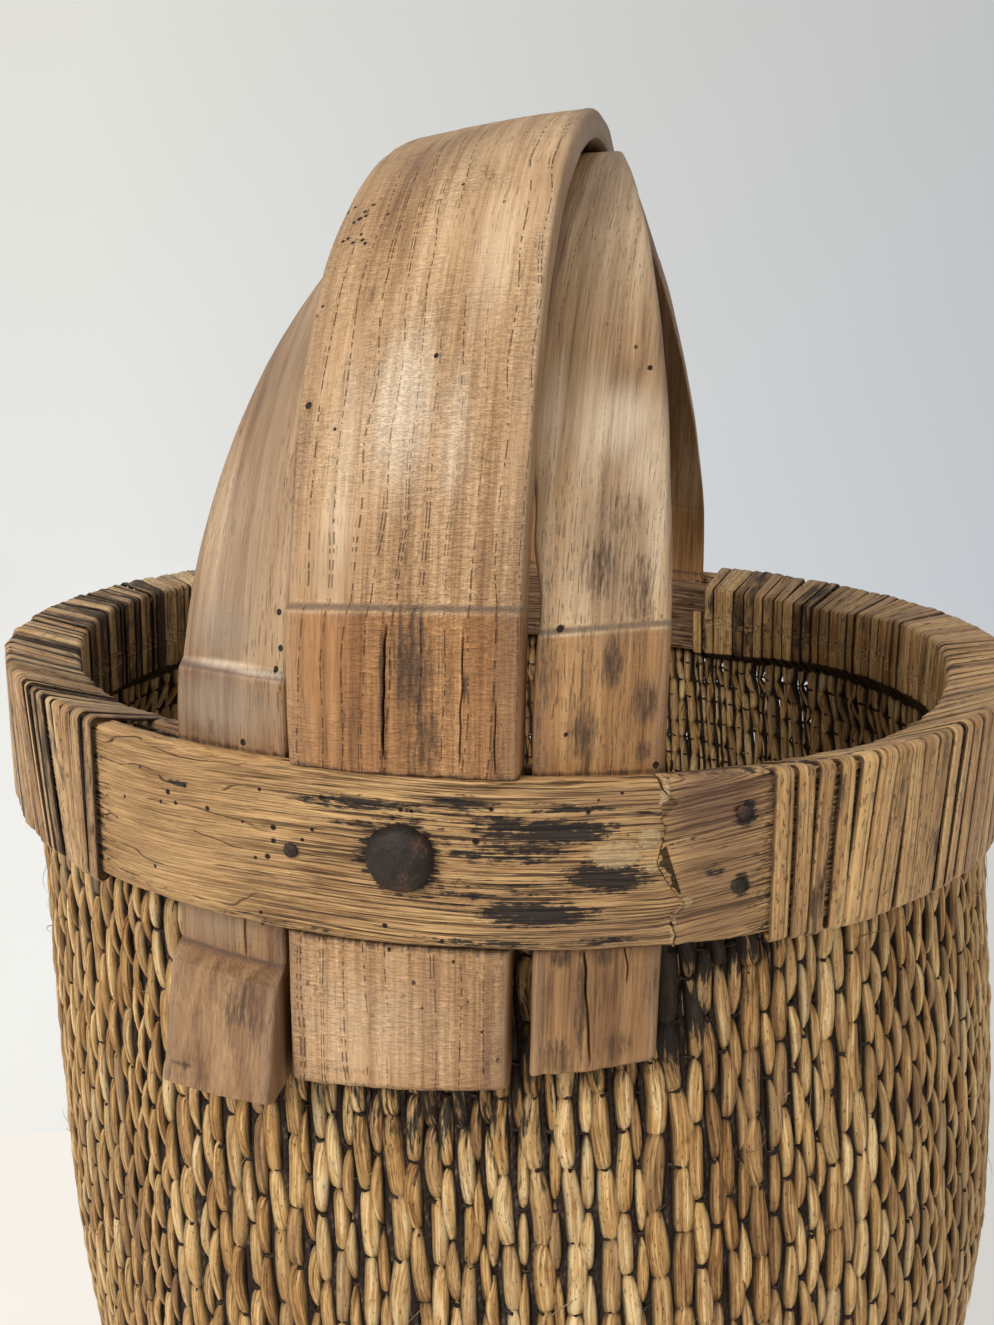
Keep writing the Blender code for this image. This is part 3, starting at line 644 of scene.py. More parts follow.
@dataclass(frozen=True)
class BandFinish:
    """Split wooden band: dry grooved grain, blue-black weather stain and worm holes.

    Args:
        name: Material's name.
        pale: Ridges of the grain.
        deep: Grooves of the grain.
        holes: Worm holes: millimetres along the band from the front and up from its top, and radius.
    """

    name: str
    pale: Colour = (0.735, 0.46, 0.205)
    deep: Colour = (0.24, 0.114, 0.042)
    holes: tuple[tuple[float, float, float], ...] = (
        (-73, -14, 0.9), (-70, -17, 0.7), (-76, -17.5, 0.6), (-66, -11, 0.7), (-58, -17, 0.8), (-92, -19, 0.6),
        (-97, -27, 0.5), (-84, -8, 0.5), (-36, -20, 0.9), (-24, -19, 0.6), (-27, -22.5, 0.6), (-36, -24, 0.8),
        (-38, -29, 0.9), (-42, -30, 0.6), (-46, -19.5, 0.5), (-21, -9, 0.8), (-40, -9, 0.6), (1.5, -10, 0.6),
        (4.5, -10, 0.6), (26, -8, 0.7), (-80, -39, 0.6), (-41, -47, 0.6), (-3, -45, 0.8), (13, -48, 0.6),
        (52, -9, 0.7), (61, -4, 0.5), (22, -17.5, 1.0),
    )

    def make(self) -> Material:
        """Build the material; lay holds (along, up, depth), mark (stain, red, torn).

        Returns:
            The material.
        """
        recipe = Recipe(self.name)
        noise, mix = recipe.noise, recipe.mix
        lay = recipe.attribute("lay")
        stain, red, torn = recipe.parts(recipe.attribute("mark"))
        groove = noise(lay, (15.0, 480.0, 250.0), 4.0, 0.66)
        fibre = noise(lay, (60.0, 1900.0, 900.0), 4.0, 0.72, (3.0, 0.0, 0.0))
        cloud = noise(lay, (18.0, 46.0, 20.0), 3.0, 0.55)
        dry = (1.0 - recipe.parts(lay)[0].between(-0.06, -0.02)).clamped()
        shade = (groove * (1.3 - dry * 0.7) + fibre + cloud * 0.8 + dry * 0.32 - 1.05).clamped()
        mid = tuple((a + b) * 0.54 for a, b in zip(self.pale, self.deep))
        wood = recipe.ramp(shade, (0.16, self.deep), (0.46, mid), (0.8, self.pale))
        line = noise(lay, (18.0, 1000.0, 200.0), 3.0, 0.6, (1.0, 5.0, 0.0)).between(0.545, 0.605)
        hair = noise(lay, (34.0, 2300.0, 300.0), 2.0, 0.6, (6.0, 2.0, 0.0)).between(0.55, 0.64)
        ridge = noise(lay, (17.0, 1350.0, 200.0), 2.0, 0.6, (2.0, 8.0, 0.0)).between(0.54, 0.66)
        bent = noise(lay, (26.0, 60.0, 0.0), 2.0, 0.5, (3.0, 3.0, 0.0))
        crack = abs((recipe.parts(lay)[1] * 118.0 + bent * 2.2 + cloud * 1.2).fraction() - 0.5).between(0.035, 0.01)
        crack = crack * noise(lay, (52.0, 130.0, 0.0), 1.0, 0.5, (8.0, 1.0, 0.0)).between(0.49, 0.54)
        wood = mix(ridge * 0.65 * (1.0 - dry * 0.7), wood, tuple(min(1.0, part * 1.22) for part in self.pale))
        wood = mix(hair * (0.7 - dry * 0.5), wood, (0.115, 0.056, 0.025))
        wood = mix(line * (0.9 - dry * 0.8), wood, (0.07, 0.034, 0.017))
        wood = mix(crack * dry * 0.85, wood, (0.06, 0.028, 0.013))
        wood = mix((red * (0.55 + cloud)).clamped() * 0.8, wood, (0.17, 0.088, 0.055))
        streak = noise(lay, (34.0, 1150.0, 60.0), 4.0, 0.72, (2.0, 1.0, 0.0))
        speck = noise(lay, (260.0, 620.0, 60.0), 3.0, 0.7, (4.0, 4.0, 0.0))
        soaked = (stain * 1.45 + (streak - 0.5) * 3.2 + (speck - 0.5) * 1.8 - 0.72).between(0.0, 0.3)
        wood = mix(soaked * 0.95, wood, (0.017, 0.015, 0.016))
        wood = mix(recipe.dots(lay, self.holes), wood, (0.022, 0.008, 0.006))
        hole = recipe.cells(lay, (118.0, 128.0, 0.0)).between(0.066, 0.045)
        hole = hole * noise(lay, (13.0, 22.0, 0.0), 1.0, 0.5, (5.0, 2.0, 3.0)).between(0.53, 0.58)
        wood = mix(hole, wood, (0.035, 0.01, 0.006))
        ragged = noise(lay, (700.0, 900.0, 400.0), 3.0, 0.7)
        fresh = (torn * 1.5 + ragged * 1.6 - 1.25).between(0.0, 0.35)
        wood = mix(fresh * 0.92, wood, mix(ragged, (0.34, 0.19, 0.07), (0.86, 0.64, 0.36)))
        rough = 0.48 + fibre * 0.25 + soaked * 0.12
        height = (groove * 0.8 + fibre * 0.6 - crack * dry - line * (0.9 - dry * 0.8) - hair * 0.4 + ridge * 0.5
                  - hole * 1.6 + streak * 0.5 + fresh * ragged)
        return recipe.finish(wood, rough, height, 0.0009, Specular_IOR_Level=0.25)


@dataclass(frozen=True)
class CaneFinish:
    """Split cane: smooth half-gloss skin with fine streaks along it.

    Args:
        name: Material's name.
        pale: Lightest strips.
        mid: Common strips.
        deep: Darkest strips.
        shade_and_dirt: Strength of the painted shade and grime at the strips' edges.
    """

    name: str
    pale: Colour
    mid: Colour
    deep: Colour
    shade_and_dirt: float = 0.8

    def make(self) -> Material:
        """Build the material; lay holds (across, along, strip), kind (tone, soil, edge), edge carrying painted
        shade.

        Returns:
            The material.
        """
        recipe = Recipe(self.name)
        noise, mix = recipe.noise, recipe.mix
        lay = recipe.attribute("lay")
        tone, soil, edge = recipe.parts(recipe.attribute("kind"))
        fibre = noise(lay, (2000.0, 24.0, 31.0), 3.0, 0.65)
        band = noise(lay, (620.0, 14.0, 23.0), 2.0, 0.6, (5.0, 0.0, 2.0))
        blotch = noise(lay, (230.0, 60.0, 17.0), 3.0, 0.6)
        shade = (tone * 0.62 + fibre * 0.7 + band * 0.9 + blotch * 0.9 - 1.12).clamped()
        skin = recipe.ramp(shade, (0.08, self.deep), (0.44, self.mid), (0.88, self.pale))
        scar = noise(lay, (900.0, 300.0, 5.0), 2.0, 0.6, (0.0, 3.0, 1.0)).between(0.58, 0.68)
        skin = mix(scar * (0.55 + soil * 0.4), skin, (0.06, 0.03, 0.015))
        crease = noise(lay, (1500.0, 9.0, 13.0), 1.0, 0.5, (1.0, 4.0, 0.0)).between(0.6, 0.68)
        skin = mix(crease * 0.5, skin, (0.1, 0.05, 0.024))
        # soil is dirt on some strips and painted shade on the strips' undersides.
        dark = (soil * 1.3 + (blotch - 0.5) * 2.0 + (fibre - 0.5) * 0.8 - 0.25).between(0.0, 0.6)
        skin = mix(dark * 0.93, skin, (0.03, 0.019, 0.012))
        # Painted shade and grime: each strip is darkened at its edges, next to its neighbours.
        rim = (edge + (blotch - 0.5) * 0.4).between(0.52, 0.92)
        skin = mix(rim * self.shade_and_dirt, skin, (0.028, 0.015, 0.008))
        rough = 0.3 + blotch * 0.18 + dark * 0.25
        height = fibre * 0.6 + blotch * 0.6 + band * 0.6 - scar * 0.5 - crease * 0.6
        return recipe.finish(skin, rough, height, 0.0006, Specular_IOR_Level=0.3)


@dataclass(frozen=True)
class IronFinish:
    """Forged iron: dark skin, hammered, with rust specks.

    Args:
        name: Material's name.
        skin: Colour of the dark skin.
        rust: Strength of the rust.
        polish: Lowest roughness.
    """

    name: str
    skin: Colour = (0.03, 0.024, 0.02)
    rust: float = 0.8
    polish: float = 0.38

    def make(self) -> Material:
        """Build the material.

        Returns:
            The material.
        """
        recipe = Recipe(self.name)
        noise, mix = recipe.noise, recipe.mix
        place = recipe.place()
        cloud = noise(place, (150.0, 150.0, 150.0), 3.0, 0.6)
        grain = noise(place, (1500.0, 1500.0, 1500.0), 3.0, 0.65)
        dent = recipe.cells(place, (330.0, 330.0, 330.0))
        metal = mix(cloud, tuple(part * 0.6 for part in self.skin), tuple(part * 1.9 for part in self.skin))
        flake = (cloud * 0.6 + grain * 0.6).between(0.62, 0.78) * self.rust
        metal = mix(flake, metal, (0.15, 0.058, 0.028))
        glint = grain.between(0.7, 0.76) * 0.5
        metal = mix(glint, metal, (0.3, 0.26, 0.22))
        rough = self.polish + grain * 0.25 + flake * 0.2
        recipe.put(recipe.shader.inputs["Metallic"], 0.6 - flake * 0.4)
        return recipe.finish(metal, rough, dent * 0.5 + grain * 0.4 + cloud * 0.5, 0.0007, Specular_IOR_Level=0.3)


# Modelling


def select_only(*objects: Object) -> None:
    """Deselect everything and select these, the first one active."""
    bpy.ops.object.select_all(action="DESELECT")
    for obj in objects:
        obj.select_set(True)
    bpy.context.view_layer.objects.active = objects[0]


def in_edit_mode(obj: Object, *steps: Callable[[], object]) -> None:
    """Run edit-mode operators on all of an object.

    Args:
        obj: The object.
        steps: Operators to run, in order.
    """
    select_only(obj)
    bpy.ops.object.mode_set(mode="EDIT")
    bpy.ops.mesh.select_all(action="SELECT")
    for step in steps:
        step()
    bpy.ops.object.mode_set(mode="OBJECT")


def merge_doubles() -> None:
    """Merge corners that lie on each other."""
    bpy.ops.mesh.remove_doubles(threshold=0.000002)


def face_out() -> None:
    """Turn the faces outwards."""
    bpy.ops.mesh.select_all(action="SELECT")
    bpy.ops.mesh.normals_make_consistent(inside=False)


def close_ends() -> None:
    """Fill the open ends."""
    bpy.ops.mesh.select_all(action="DESELECT")
    bpy.ops.mesh.select_non_manifold()
    bpy.ops.mesh.fill_holes(sides=0)


def keep_vectors(mesh: bpy.types.Mesh, name: str, values: Array) -> None:
    """Keep one vector for each corner of a mesh."""
    held = mesh.attributes.get(name) or mesh.attributes.new(name, "FLOAT_VECTOR", "POINT")
    held.data.foreach_set("vector", np.ascontiguousarray(values, np.float32).ravel())


class Tube:
    """A straight tube modelled once, whose copies are shaped along their own routes.

    Args:
        rings: Number of rings along it.
        sides: Number of corners in a ring.
        capped: Whether its ends are filled.
    """

    def __init__(self, rings: int, sides: int, capped: bool = True) -> None:
        """Roll a grid up, merge its seam and fill its ends."""
        self.rings = rings
        self.sides = sides
        bpy.ops.object.select_all(action="DESELECT")
        bpy.ops.mesh.primitive_grid_add(x_subdivisions=sides, y_subdivisions=rings - 1, size=2)
        obj = bpy.context.object
        mesh = obj.data
        flat = np.empty(len(mesh.vertices) * 3)
        mesh.vertices.foreach_get("co", flat)
        flat = flat.reshape(-1, 3)
        turn = np.rint((flat[:, 0] + 1) / 2 * sides).astype(int) % sides
        step = np.rint((flat[:, 1] + 1) / 2 * (rings - 1)).astype(int)
        angle = turn / sides * math.tau
        rolled = np.stack([np.cos(angle), np.sin(angle), step.astype(float)], axis=1)
        mesh.vertices.foreach_set("co", rolled.ravel())
        keep_vectors(mesh, "seat", np.stack([step, turn, step * 0], axis=1))
        in_edit_mode(obj, merge_doubles, *([close_ends] if capped else []))
        self.mesh = mesh
        seat = np.empty(len(mesh.vertices) * 3, np.float32)
        mesh.attributes["seat"].data.foreach_get("vector", seat)
        seat = np.rint(seat.reshape(-1, 3)).astype(int)
        self.step, self.turn = seat[:, 0], seat[:, 1]
        mesh.attributes.remove(mesh.attributes["seat"])
        self.source = obj

    def along(self, name: str, points: Array, **vectors: Array) -> Object:
        """Copy the tube onto a route.

        Args:
            name: The copy's name.
            points: Its corners, as (rings, sides, 3).
            vectors: Arrays of the same shape to keep on its corners.

        Returns:
            The shaped copy.
        """
        mesh = self.mesh.copy()
        mesh.name = name
        placed = points[self.step, self.turn]
        mesh.vertices.foreach_set("co", np.ascontiguousarray(placed, np.float32).ravel())
        for word, values in vectors.items():
            keep_vectors(mesh, word, values[self.step, self.turn])
        obj = bpy.data.objects.new(name, mesh)
        bpy.context.scene.collection.objects.link(obj)
        return obj

    def put_away(self) -> None:
        """Remove the straight tube."""
        bpy.data.objects.remove(self.source, do_unlink=True)


def triples(*parts: object) -> Array:
    """Three arrays broadcast to one shape, as one array of vectors."""
    return np.stack(np.broadcast_arrays(*parts), axis=2)


def ring_turns(sides: int) -> Array:
    """Angles of a ring's corners."""
    return np.arange(sides) / sides * math.tau


def unit_runs(spots: Array) -> Array:
    """Unit directions of a route at its points."""
    runs = np.gradient(spots, axis=0)
    return runs / np.linalg.norm(runs, axis=1)[:, None]


def lengths_along(spots: Array) -> Array:
    """Length of a route up to each of its points."""
    return np.concatenate([[0.0], np.cumsum(np.linalg.norm(np.diff(spots, axis=0), axis=1))])


def ringed(spots: Array, sideways: Array, outward: Array, wide: Array, thick: Array,
           turn: Array) -> Array:
    """Corners of rings round a route's points, as (rings, sides, 3).

    Args:
        spots: Points of the route.
        sideways: Directions of the rings' widths.
        outward: Directions of their thicknesses.
        wide: Half widths, as a column.
        thick: Half thicknesses, as a column.
        turn: Angles of a ring's corners.

    Returns:
        The corners.
    """
    return (spots[:, None] + sideways[:, None] * (wide * np.cos(turn))[..., None]
            + outward[:, None] * (thick * np.sin(turn))[..., None])


def joined(name: str, pieces: Sequence[Object]) -> Object:
    """Join pieces into the first, under one name.

    Args:
        name: Name of the whole.
        pieces: The pieces; the first takes in the others.

    Returns:
        The whole.
    """
    select_only(*pieces)
    if len(pieces) > 1:
        bpy.ops.object.join()
    obj = bpy.context.view_layer.objects.active
    obj.name = name
    obj.data.name = name
    return obj


def dressed(obj: Object, finish: Material, replaced: Sequence[str] = (),
            sharp: float = 40.0) -> Object:
    """Finish a piece: faces out, shading, material, body and the nodes it stands for.

    Args:
        obj: The piece.
        finish: Its material.
        replaced: CAD nodes that it stands for.
        sharp: Degrees past which an edge stays sharp.

    Returns:
        The piece.
    """
    in_edit_mode(obj, face_out)
    bpy.ops.object.shade_smooth_by_angle(angle=math.radians(sharp))
    obj.data.materials.clear()
    obj.data.materials.append(finish)
    if replaced:
        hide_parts(*replaced)
    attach(obj, BODY)
    log.info("%s: %d corners", obj.name, len(obj.data.vertices))
    return obj


# Woven body


@dataclass
class WovenBody:
    """Upright willow rods bound by rows of cord, wall and base in one weave.

    Args:
        rods: Number of rods round the wall.
        row_pitch: Way along a rod from one cord row to the next.
        first_row: Way down a rod to the first row of cord.
        inset: How far the rods' middles lie inside the body's outer face.
        sectors: Number of pieces that the rods are grouped into.
        seed: Seed of the hand-made unevenness.
    """

    rods: int = 240
    row_pitch: float = 11.75 * MM
    first_row: float = 51 * MM
    inset: float = 3.6 * MM
    sectors: int = 8
    seed: int = 7
    neck: tuple[float, float] = (195.2 * MM, 184.5 * MM)
    top: float = 1.2 * MM
    neck_depth: float = 54.2 * MM
    profile: tuple[tuple[float, float, float], ...] = (
        (0.06, 0.2005, 0.1842), (0.1, 0.2032, 0.1842), (0.135, 0.2052, 0.189), (0.18, 0.207, 0.1925),
        (0.225, 0.208, 0.194), (0.255, 0.2065, 0.1935), (0.285, 0.204, 0.191), (0.315, 0.2, 0.187),
        (0.34, 0.194, 0.1815), (0.36, 0.1855, 0.1735), (0.375, 0.172, 0.161), (0.385, 0.148, 0.1385),
    )
    lean: float = 12 * MM
    lean_start: float = 0.07
    lean_depth: float = 0.215
    base_ends: tuple[float, ...] = (96 * MM, 50 * MM, 26 * MM, 10 * MM)
    rod_sides: int = 8
    seed_places: tuple[float, ...] = (0.0, 0.05, 0.14, 0.3, 0.5, 0.7, 0.86, 0.95)
    random: np.random.Generator = field(init=False)

    def __post_init__(self) -> None:
        """Lay out the wall's curve and the rods."""
        self.random = np.random.default_rng(self.seed)
        self._curve()
        self._spread_rods()

    def _curve(self) -> None:
        """Middle line of the wall from rim to base's middle, evenly spaced and smoothed."""
        rows = [(-self.top, *self.neck), (self.neck_depth, *self.neck), *self.profile]
        foot = self.profile[-1]
        rows.append((foot[0], 0.0, 0.0))
        corners = np.array(rows)
        runs = np.hypot(np.diff(corners[:, 0]), np.diff(corners[:, 1]))
        ways = np.concatenate([[0.0], np.cumsum(runs)])
        step = 0.5 * MM
        fine = np.arange(0.0, ways[-1], step)
        path = np.stack([np.interp(fine, ways, corners[:, column]) for column in range(3)], axis=1)
        reach = 14
        window = np.hanning(2 * reach + 1)
        window /= window.sum()
        padded = np.concatenate([path[:1] + (path[:1] - path[1:reach + 1][::-1]), path,
                                 path[-1:] + (path[-1:] - path[-reach - 1:-1][::-1])])
        path = np.stack([np.convolve(padded[:, column], window, "valid") for column in range(3)], axis=1)
        slope = np.gradient(path, axis=0)
        length = np.hypot(slope[:, 0], slope[:, 1])
        out, up = slope[:, 0] / length, slope[:, 1] / length
        path[:, 1] -= self.inset * out
        path[:, 2] -= self.inset * out
        path[:, 0] += self.inset * up
        self.way = np.concatenate([[0.0], np.cumsum(np.hypot(*np.diff(path[:, :2], axis=0).T))])
        self.path = path
        self.normal = np.stack([out, up], axis=1)

    def _spread_rods(self) -> None:
        """Share the rim out among rods of uneven width."""
        widths = 1.0 + 0.3 * self.random.standard_normal(self.rods)
        widths = np.clip(widths, 0.58, 1.55)
        widths *= math.tau / widths.sum()
        self.widths = widths
        self.angles = np.cumsum(widths) - widths / 2
        self.angles -= math.pi
        self.between = (self.angles + np.roll(self.angles, -1)) / 2
        self.between[-1] += math.pi
        self.tones = self.random.random(self.rods)

    def surface(self, way: Array, angle: Array, out: Array) -> tuple[Array, Array]:
        """Points on the weave's middle surface, and its outward directions.

        Args:
            way: Ways down from the rim along the wall.
            angle: Angles, 0 at the front and growing towards +X.
            out: How far outside the middle surface.

        Returns:
            Points and unit normals, as (n, 3).
        """
        depth, wide, deep = (np.interp(way, self.way, self.path[:, column]) for column in range(3))
        across, up = (np.interp(way, self.way, self.normal[:, column]) for column in range(2))
        share = np.clip((depth - self.lean_start) / self.lean_depth, 0, 1)
        shift = self.lean * np.sin(share * math.pi / 2)
        sine, cosine = np.sin(angle), np.cos(angle)
        normal = np.stack([sine * across, -cosine * across, up], axis=1)
        spot = np.stack([wide * sine + shift, -deep * cosine, -depth], axis=1)
        return spot + normal * out[:, None] + np.array(RIM.centre), normal

    def slimness(self, widths: Array) -> Array:
        """How slim rods are, 0 to 1, from their shares of the rim."""
        return np.clip((1.25 - widths * self.rods / math.tau) / 0.6, 0.0, 1.0)

    def row_way(self, row: Array, angle: Array) -> Array:
        """Way down the wall to a cord row, which wanders a little as it goes round."""
        wander = 1.1 * MM * np.sin(3 * angle + row * 1.7) + 0.7 * MM * np.sin(11 * angle + row * 2.9)
        return self.first_row + self.row_pitch * row + wander

    def _group_of(self, rod: int) -> int:
        """Which of the base's rings a rod runs in to: the last one for every eighth rod.

        Args:
            rod: Number of the rod.

        Returns:
            Number of the base's ring.
        """
        for group, every in enumerate((2, 4, 8)):
            if rod % every != 0:
                return group
        return len(self.base_ends) - 1

    def _end_way(self, group: int) -> float:
        """Way down a rod to its end in the base.

        Args:
            group: Number of the base's ring.

        Returns:
            The way, in metres.
        """
        reach = self.base_ends[group]
        radius = self.path[:, 1]
        lower = self.way > self.way[-1] * 0.6
        return float(np.interp(-reach, -radius[lower], self.way[lower]))

    def rod(self, index: int, tube: Tube, seeds: int) -> Object:
        """Weave one rod: it narrows and dives where a cord crosses it and swells between.

        Args:
            index: Number of the rod.
            tube: Straight rod with enough rings.
            seeds: Number of swellings.

        Returns:
            The woven rod.
        """
        draw = self.random
        angle = self.angles[index]
        parity = index % 2
        slim = float(self.slimness(self.widths[index]))
        pinch_width = 0.76 - 0.24 * slim
        dive = (0.62 + 0.8 * slim) * MM
        power = 0.36 + 0.28 * slim
        places = np.array(self.seed_places)
        crossing = parity + 2.0 * np.arange(seeds + 1)
        marks = self.row_way(crossing, np.full(seeds + 1, angle)) + draw.normal(0, 1.0 * MM, seeds + 1)
        degrees = np.degrees(angle)
        inner, outer = (float(RimWear.at(edge, degrees)) for edge in (RimWear.INNER_EDGE, RimWear.OUTER_EDGE))
        sink = 5.6 * MM - 0.55 * inner - 0.45 * outer + draw.uniform(-1.5, 1.0) * MM
        ways = [sink + (marks[0] - sink) * np.array([0.0, 0.05, 0.35, 0.7, 0.94])]
        swell = [np.array([0.55, 0.62, 0.75, 0.75, 0.45])]
        shade = [np.full(5, 0.6 * self.tones[index] + 0.4 * draw.random())]
        grey = [np.full(5, 0.35)]
        drift = [np.zeros(5)]
        weathered = 0.1 + 0.2 * max(0.0, math.sin(angle)) ** 3
        for number in range(seeds):
            start, end = marks[number], marks[number + 1]
            ways.append(start + (end - start) * places)
            belly = places ** draw.uniform(0.86, 1.16)
            swell.append(np.sin(math.pi * belly) ** power * draw.uniform(0.86, 1.08))
            tone = 0.45 * self.tones[index] + 0.55 * draw.random()
            shade.append(np.full(len(places), tone))
            grey.append(np.full(len(places), max(0.0, draw.normal(weathered, 0.22))))
            drift.append(draw.normal(0, 0.09) * np.sin(math.pi * places))
        ways.append(np.array([marks[-1], marks[-1] + 1.5 * MM]))
        swell.append(np.array([0.0, 0.0]))
        shade.append(shade[-1][:2])
        grey.append(grey[-1][:2])
        drift.append(np.zeros(2))
        way, swell, shade, grey, drift = (np.concatenate(part) for part in (ways, swell, shade, grey, drift))
        size = (pinch_width + (1 - pinch_width) * swell) * (1.12 + 0.17 * slim)
        size *= 1 + 0.07 * np.sin(way * 190 + index)
        depth, radius, _ = (np.interp(way, self.way, self.path[:, column]) for column in range(3))
        present = 1.0 + (radius < self.base_ends[0] + 4 * MM) + 2.0 * (radius < self.base_ends[1] + 3 * MM)
        present += 4.0 * (radius < self.base_ends[2] + 2 * MM)
        half = np.minimum(0.5 * self.widths[index] * radius * present, 4.0 * MM) * size
        thick = np.minimum(half * 0.86, 2.45 * MM)
        free = np.clip((way - 30 * MM) / (25 * MM), 0.0, 1.0)
        level = np.clip((self.profile[-1][0] - depth) / (30 * MM), 0.0, 1.0)
        out = dive * (2 * swell - 1) * (0.3 + 0.7 * free) * (0.55 + 0.45 * level)
        bend = 0.16 * self.widths[index] * np.sin(way * (48 + 9 * (index % 5)) + index * 2.1)
        bend = (bend + drift * self.widths[index]) * np.clip(radius / 0.18, 0.2, 1.0)
        spots, normals = self.surface(way, angle + bend, out)
        turn = ring_turns(self.rod_sides)
        points = ringed(spots, np.cross(unit_runs(spots), normals), normals, half[:, None], thick[:, None], turn)
        # gap is painted shade: darkest on a rod's flanks and where it pinches under a cord.
        side = np.abs(np.cos(turn)) ** 2.2
        pit = np.clip(1 - swell, 0, 1) ** 1.4
        gap = np.clip(side[None] * (0.92 + 0.1 * pit[:, None]) + 0.5 * pit[:, None] * (0.5 + 0.5 * slim), 0, 1)
        gap = np.where((way < 30 * MM)[:, None], np.clip(side[None] * 0.8 + 0.1, 0, 1), gap)
        lay = triples(half[:, None] * turn, way[:, None], float(index))
        kind = triples(shade[:, None], grey[:, None], gap)
        soot = self._soot(way, angle + bend)
        soot = triples(soot[:, None], np.zeros((1, self.rod_sides)), 0.0)
        return tube.along("rod", points, lay=lay, kind=kind, soot=soot)

    def _soot(self, way: Array, angle: Array) -> Array:
        """How black the weave is: stained under the bare band, most beside the right strap.

        Args:
            way: Ways down the wall.
            angle: Angles round it.

        Returns:
            Blackness, 0 to 1.
        """
        degrees = np.degrees(angle)
        dark = np.zeros_like(way)
        for middle, centre, reach, height, strength in (
                (21.8, 68, 3, 34, 1.25), (26.5, 58, 6, 15, 1.1), (24.4, 84, 2.2, 15, 0.8),
                (31.5, 62, 3, 10, 0.8), (30.2, 76, 1.6, 9, 0.5), (-4, 100, 13, 20, 0.8),
                (8.5, 92, 3.5, 30, 0.7), (-21, 58, 6, 9, 0.6), (16, 96, 5, 14, 0.55), (-14, 104, 4, 16, 0.5),
                (20, 2, 9, 9, 0.75), (-23, 2, 9, 12, 0.8), (-20, 60, 3.5, 14, 0.9), (2, 110, 12, 30, 0.6)):
            spread = ((degrees - middle) / reach) ** 2 + ((way / MM - centre) / height) ** 2
            dark = np.maximum(dark, strength * np.exp(-spread))
        return np.clip(dark, 0, 1)

    def weave(self, finish: Material) -> list[Object]:
        """Weave all rods and group them.

        Args:
            finish: The rods' material.

        Returns:
            One piece for each sector.
        """
        groups: list[tuple[Tube, int]] = []
        for group in range(len(self.base_ends)):
            seeds = int((self._end_way(group) - self.first_row) / (2 * self.row_pitch)) - 1
            groups.append((Tube(7 + len(self.seed_places) * seeds, self.rod_sides), seeds))
        sectors: list[list[Object]] = [[] for _ in range(self.sectors)]
        for index in range(self.rods):
            sectors[index * self.sectors // self.rods].append(self.rod(index, *groups[self._group_of(index)]))
        for tube, _ in groups:
            tube.put_away()
        pieces = []
        for number, members in enumerate(sectors):
            piece = joined(f"willow_rods_{number + 1}", members)
            pieces.append(dressed(piece, finish, ["woven_body"] if number == 0 else [], 60))
        return pieces

    def shade_fibres(self, finish: Material, sides: int = 5, step: float = 9 * MM) -> Object:
        """Thin dark fibres between the rods, a dark filler standing in for the shade in the gaps, which close the
        weave but for a few chinks by the rim.

        Args:
            finish: The fibres' material.
            sides: Corners in a fibre's ring.
            step: Way from one ring to the next.

        Returns:
            All fibres as one piece.
        """
        last = self._end_way(0)
        rings = int((last - 56 * MM) / step)
        tube = Tube(rings, sides)
        fibres = []
        turn = ring_turns(sides)
        for index, angle in enumerate(self.between):
            luck = self.random.random()
            first = self.random.uniform(62, 84) * MM if luck < 0.1 else (50 * MM if luck < 0.45 else 34 * MM)
            way = np.linspace(first, last, rings)
            spots, normals = self.surface(way, np.full(rings, angle), np.full(rings, 0.0))
            radius = (1.25 + 0.25 * np.sin(way * 400 + index))[:, None] * MM
            wide = 1.0 + 0.8 * np.clip((way - 120 * MM) / (30 * MM), 0, 1)[:, None]
            points = ringed(spots, np.cross(unit_runs(spots), normals), normals, radius * wide, radius, turn)
            lay = triples(turn[None], way[:, None], index + 0.51)
            fibres.append(tube.along("shade_fibre", points, lay=lay))
        tube.put_away()
        return dressed(joined("dark_shade_fibres", fibres), finish, sharp=THIN_ROUND_SHARP)

    def cords(self, finish: Material, sides: int = 5) -> list[Object]:
        """Weave the rows of cord, over every second rod and behind the others.

        Args:
            finish: The cords' material.
            sides: Corners in a cord's ring.

        Returns:
            The cords in three groups.
        """
        last_row = int((self._end_way(0) - self.first_row) / self.row_pitch)
        rings = 2 * self.rods + 1
        tube = Tube(rings, sides)
        turn = ring_turns(sides)
        angle = np.empty(rings)
        angle[0:-1:2], angle[1:-1:2] = self.angles, self.between
        angle[-1] = angle[0] + math.tau
        depth = np.zeros(rings)
        depth[0:-1:2] = (1.75 - 0.85 * self.slimness(self.widths)) * MM
        depth[-1] = depth[0]
        rows: list[Object] = []
        for row in range(last_row):
            bob = np.zeros(rings)
            bob[0:-1:2] = np.where((np.arange(self.rods) + row) % 2 == 0, 1.0, -1.0)
            bob[-1] = bob[0]
            way = self.row_way(np.full_like(angle, float(row)), angle)
            way += self.random.normal(0, 0.25 * MM, len(way))
            spots, normals = self.surface(way, angle, bob * depth)
            radius = (0.72 + 0.14 * np.sin(angle * 37 + row))[:, None] * MM
            points = ringed(spots, np.cross(unit_runs(spots), normals), normals, radius, radius, turn)
            lay = triples(turn[None], lengths_along(spots)[:, None], row + 0.37)
            rows.append(tube.along("cord", points, lay=lay))
        tube.put_away()
        share = math.ceil(len(rows) / 3)
        pieces = []
        for number in range(3):
            piece = joined(f"binding_cord_{number + 1}", rows[number * share:(number + 1) * share])
            pieces.append(dressed(piece, finish, sharp=THIN_ROUND_SHARP))
        return pieces

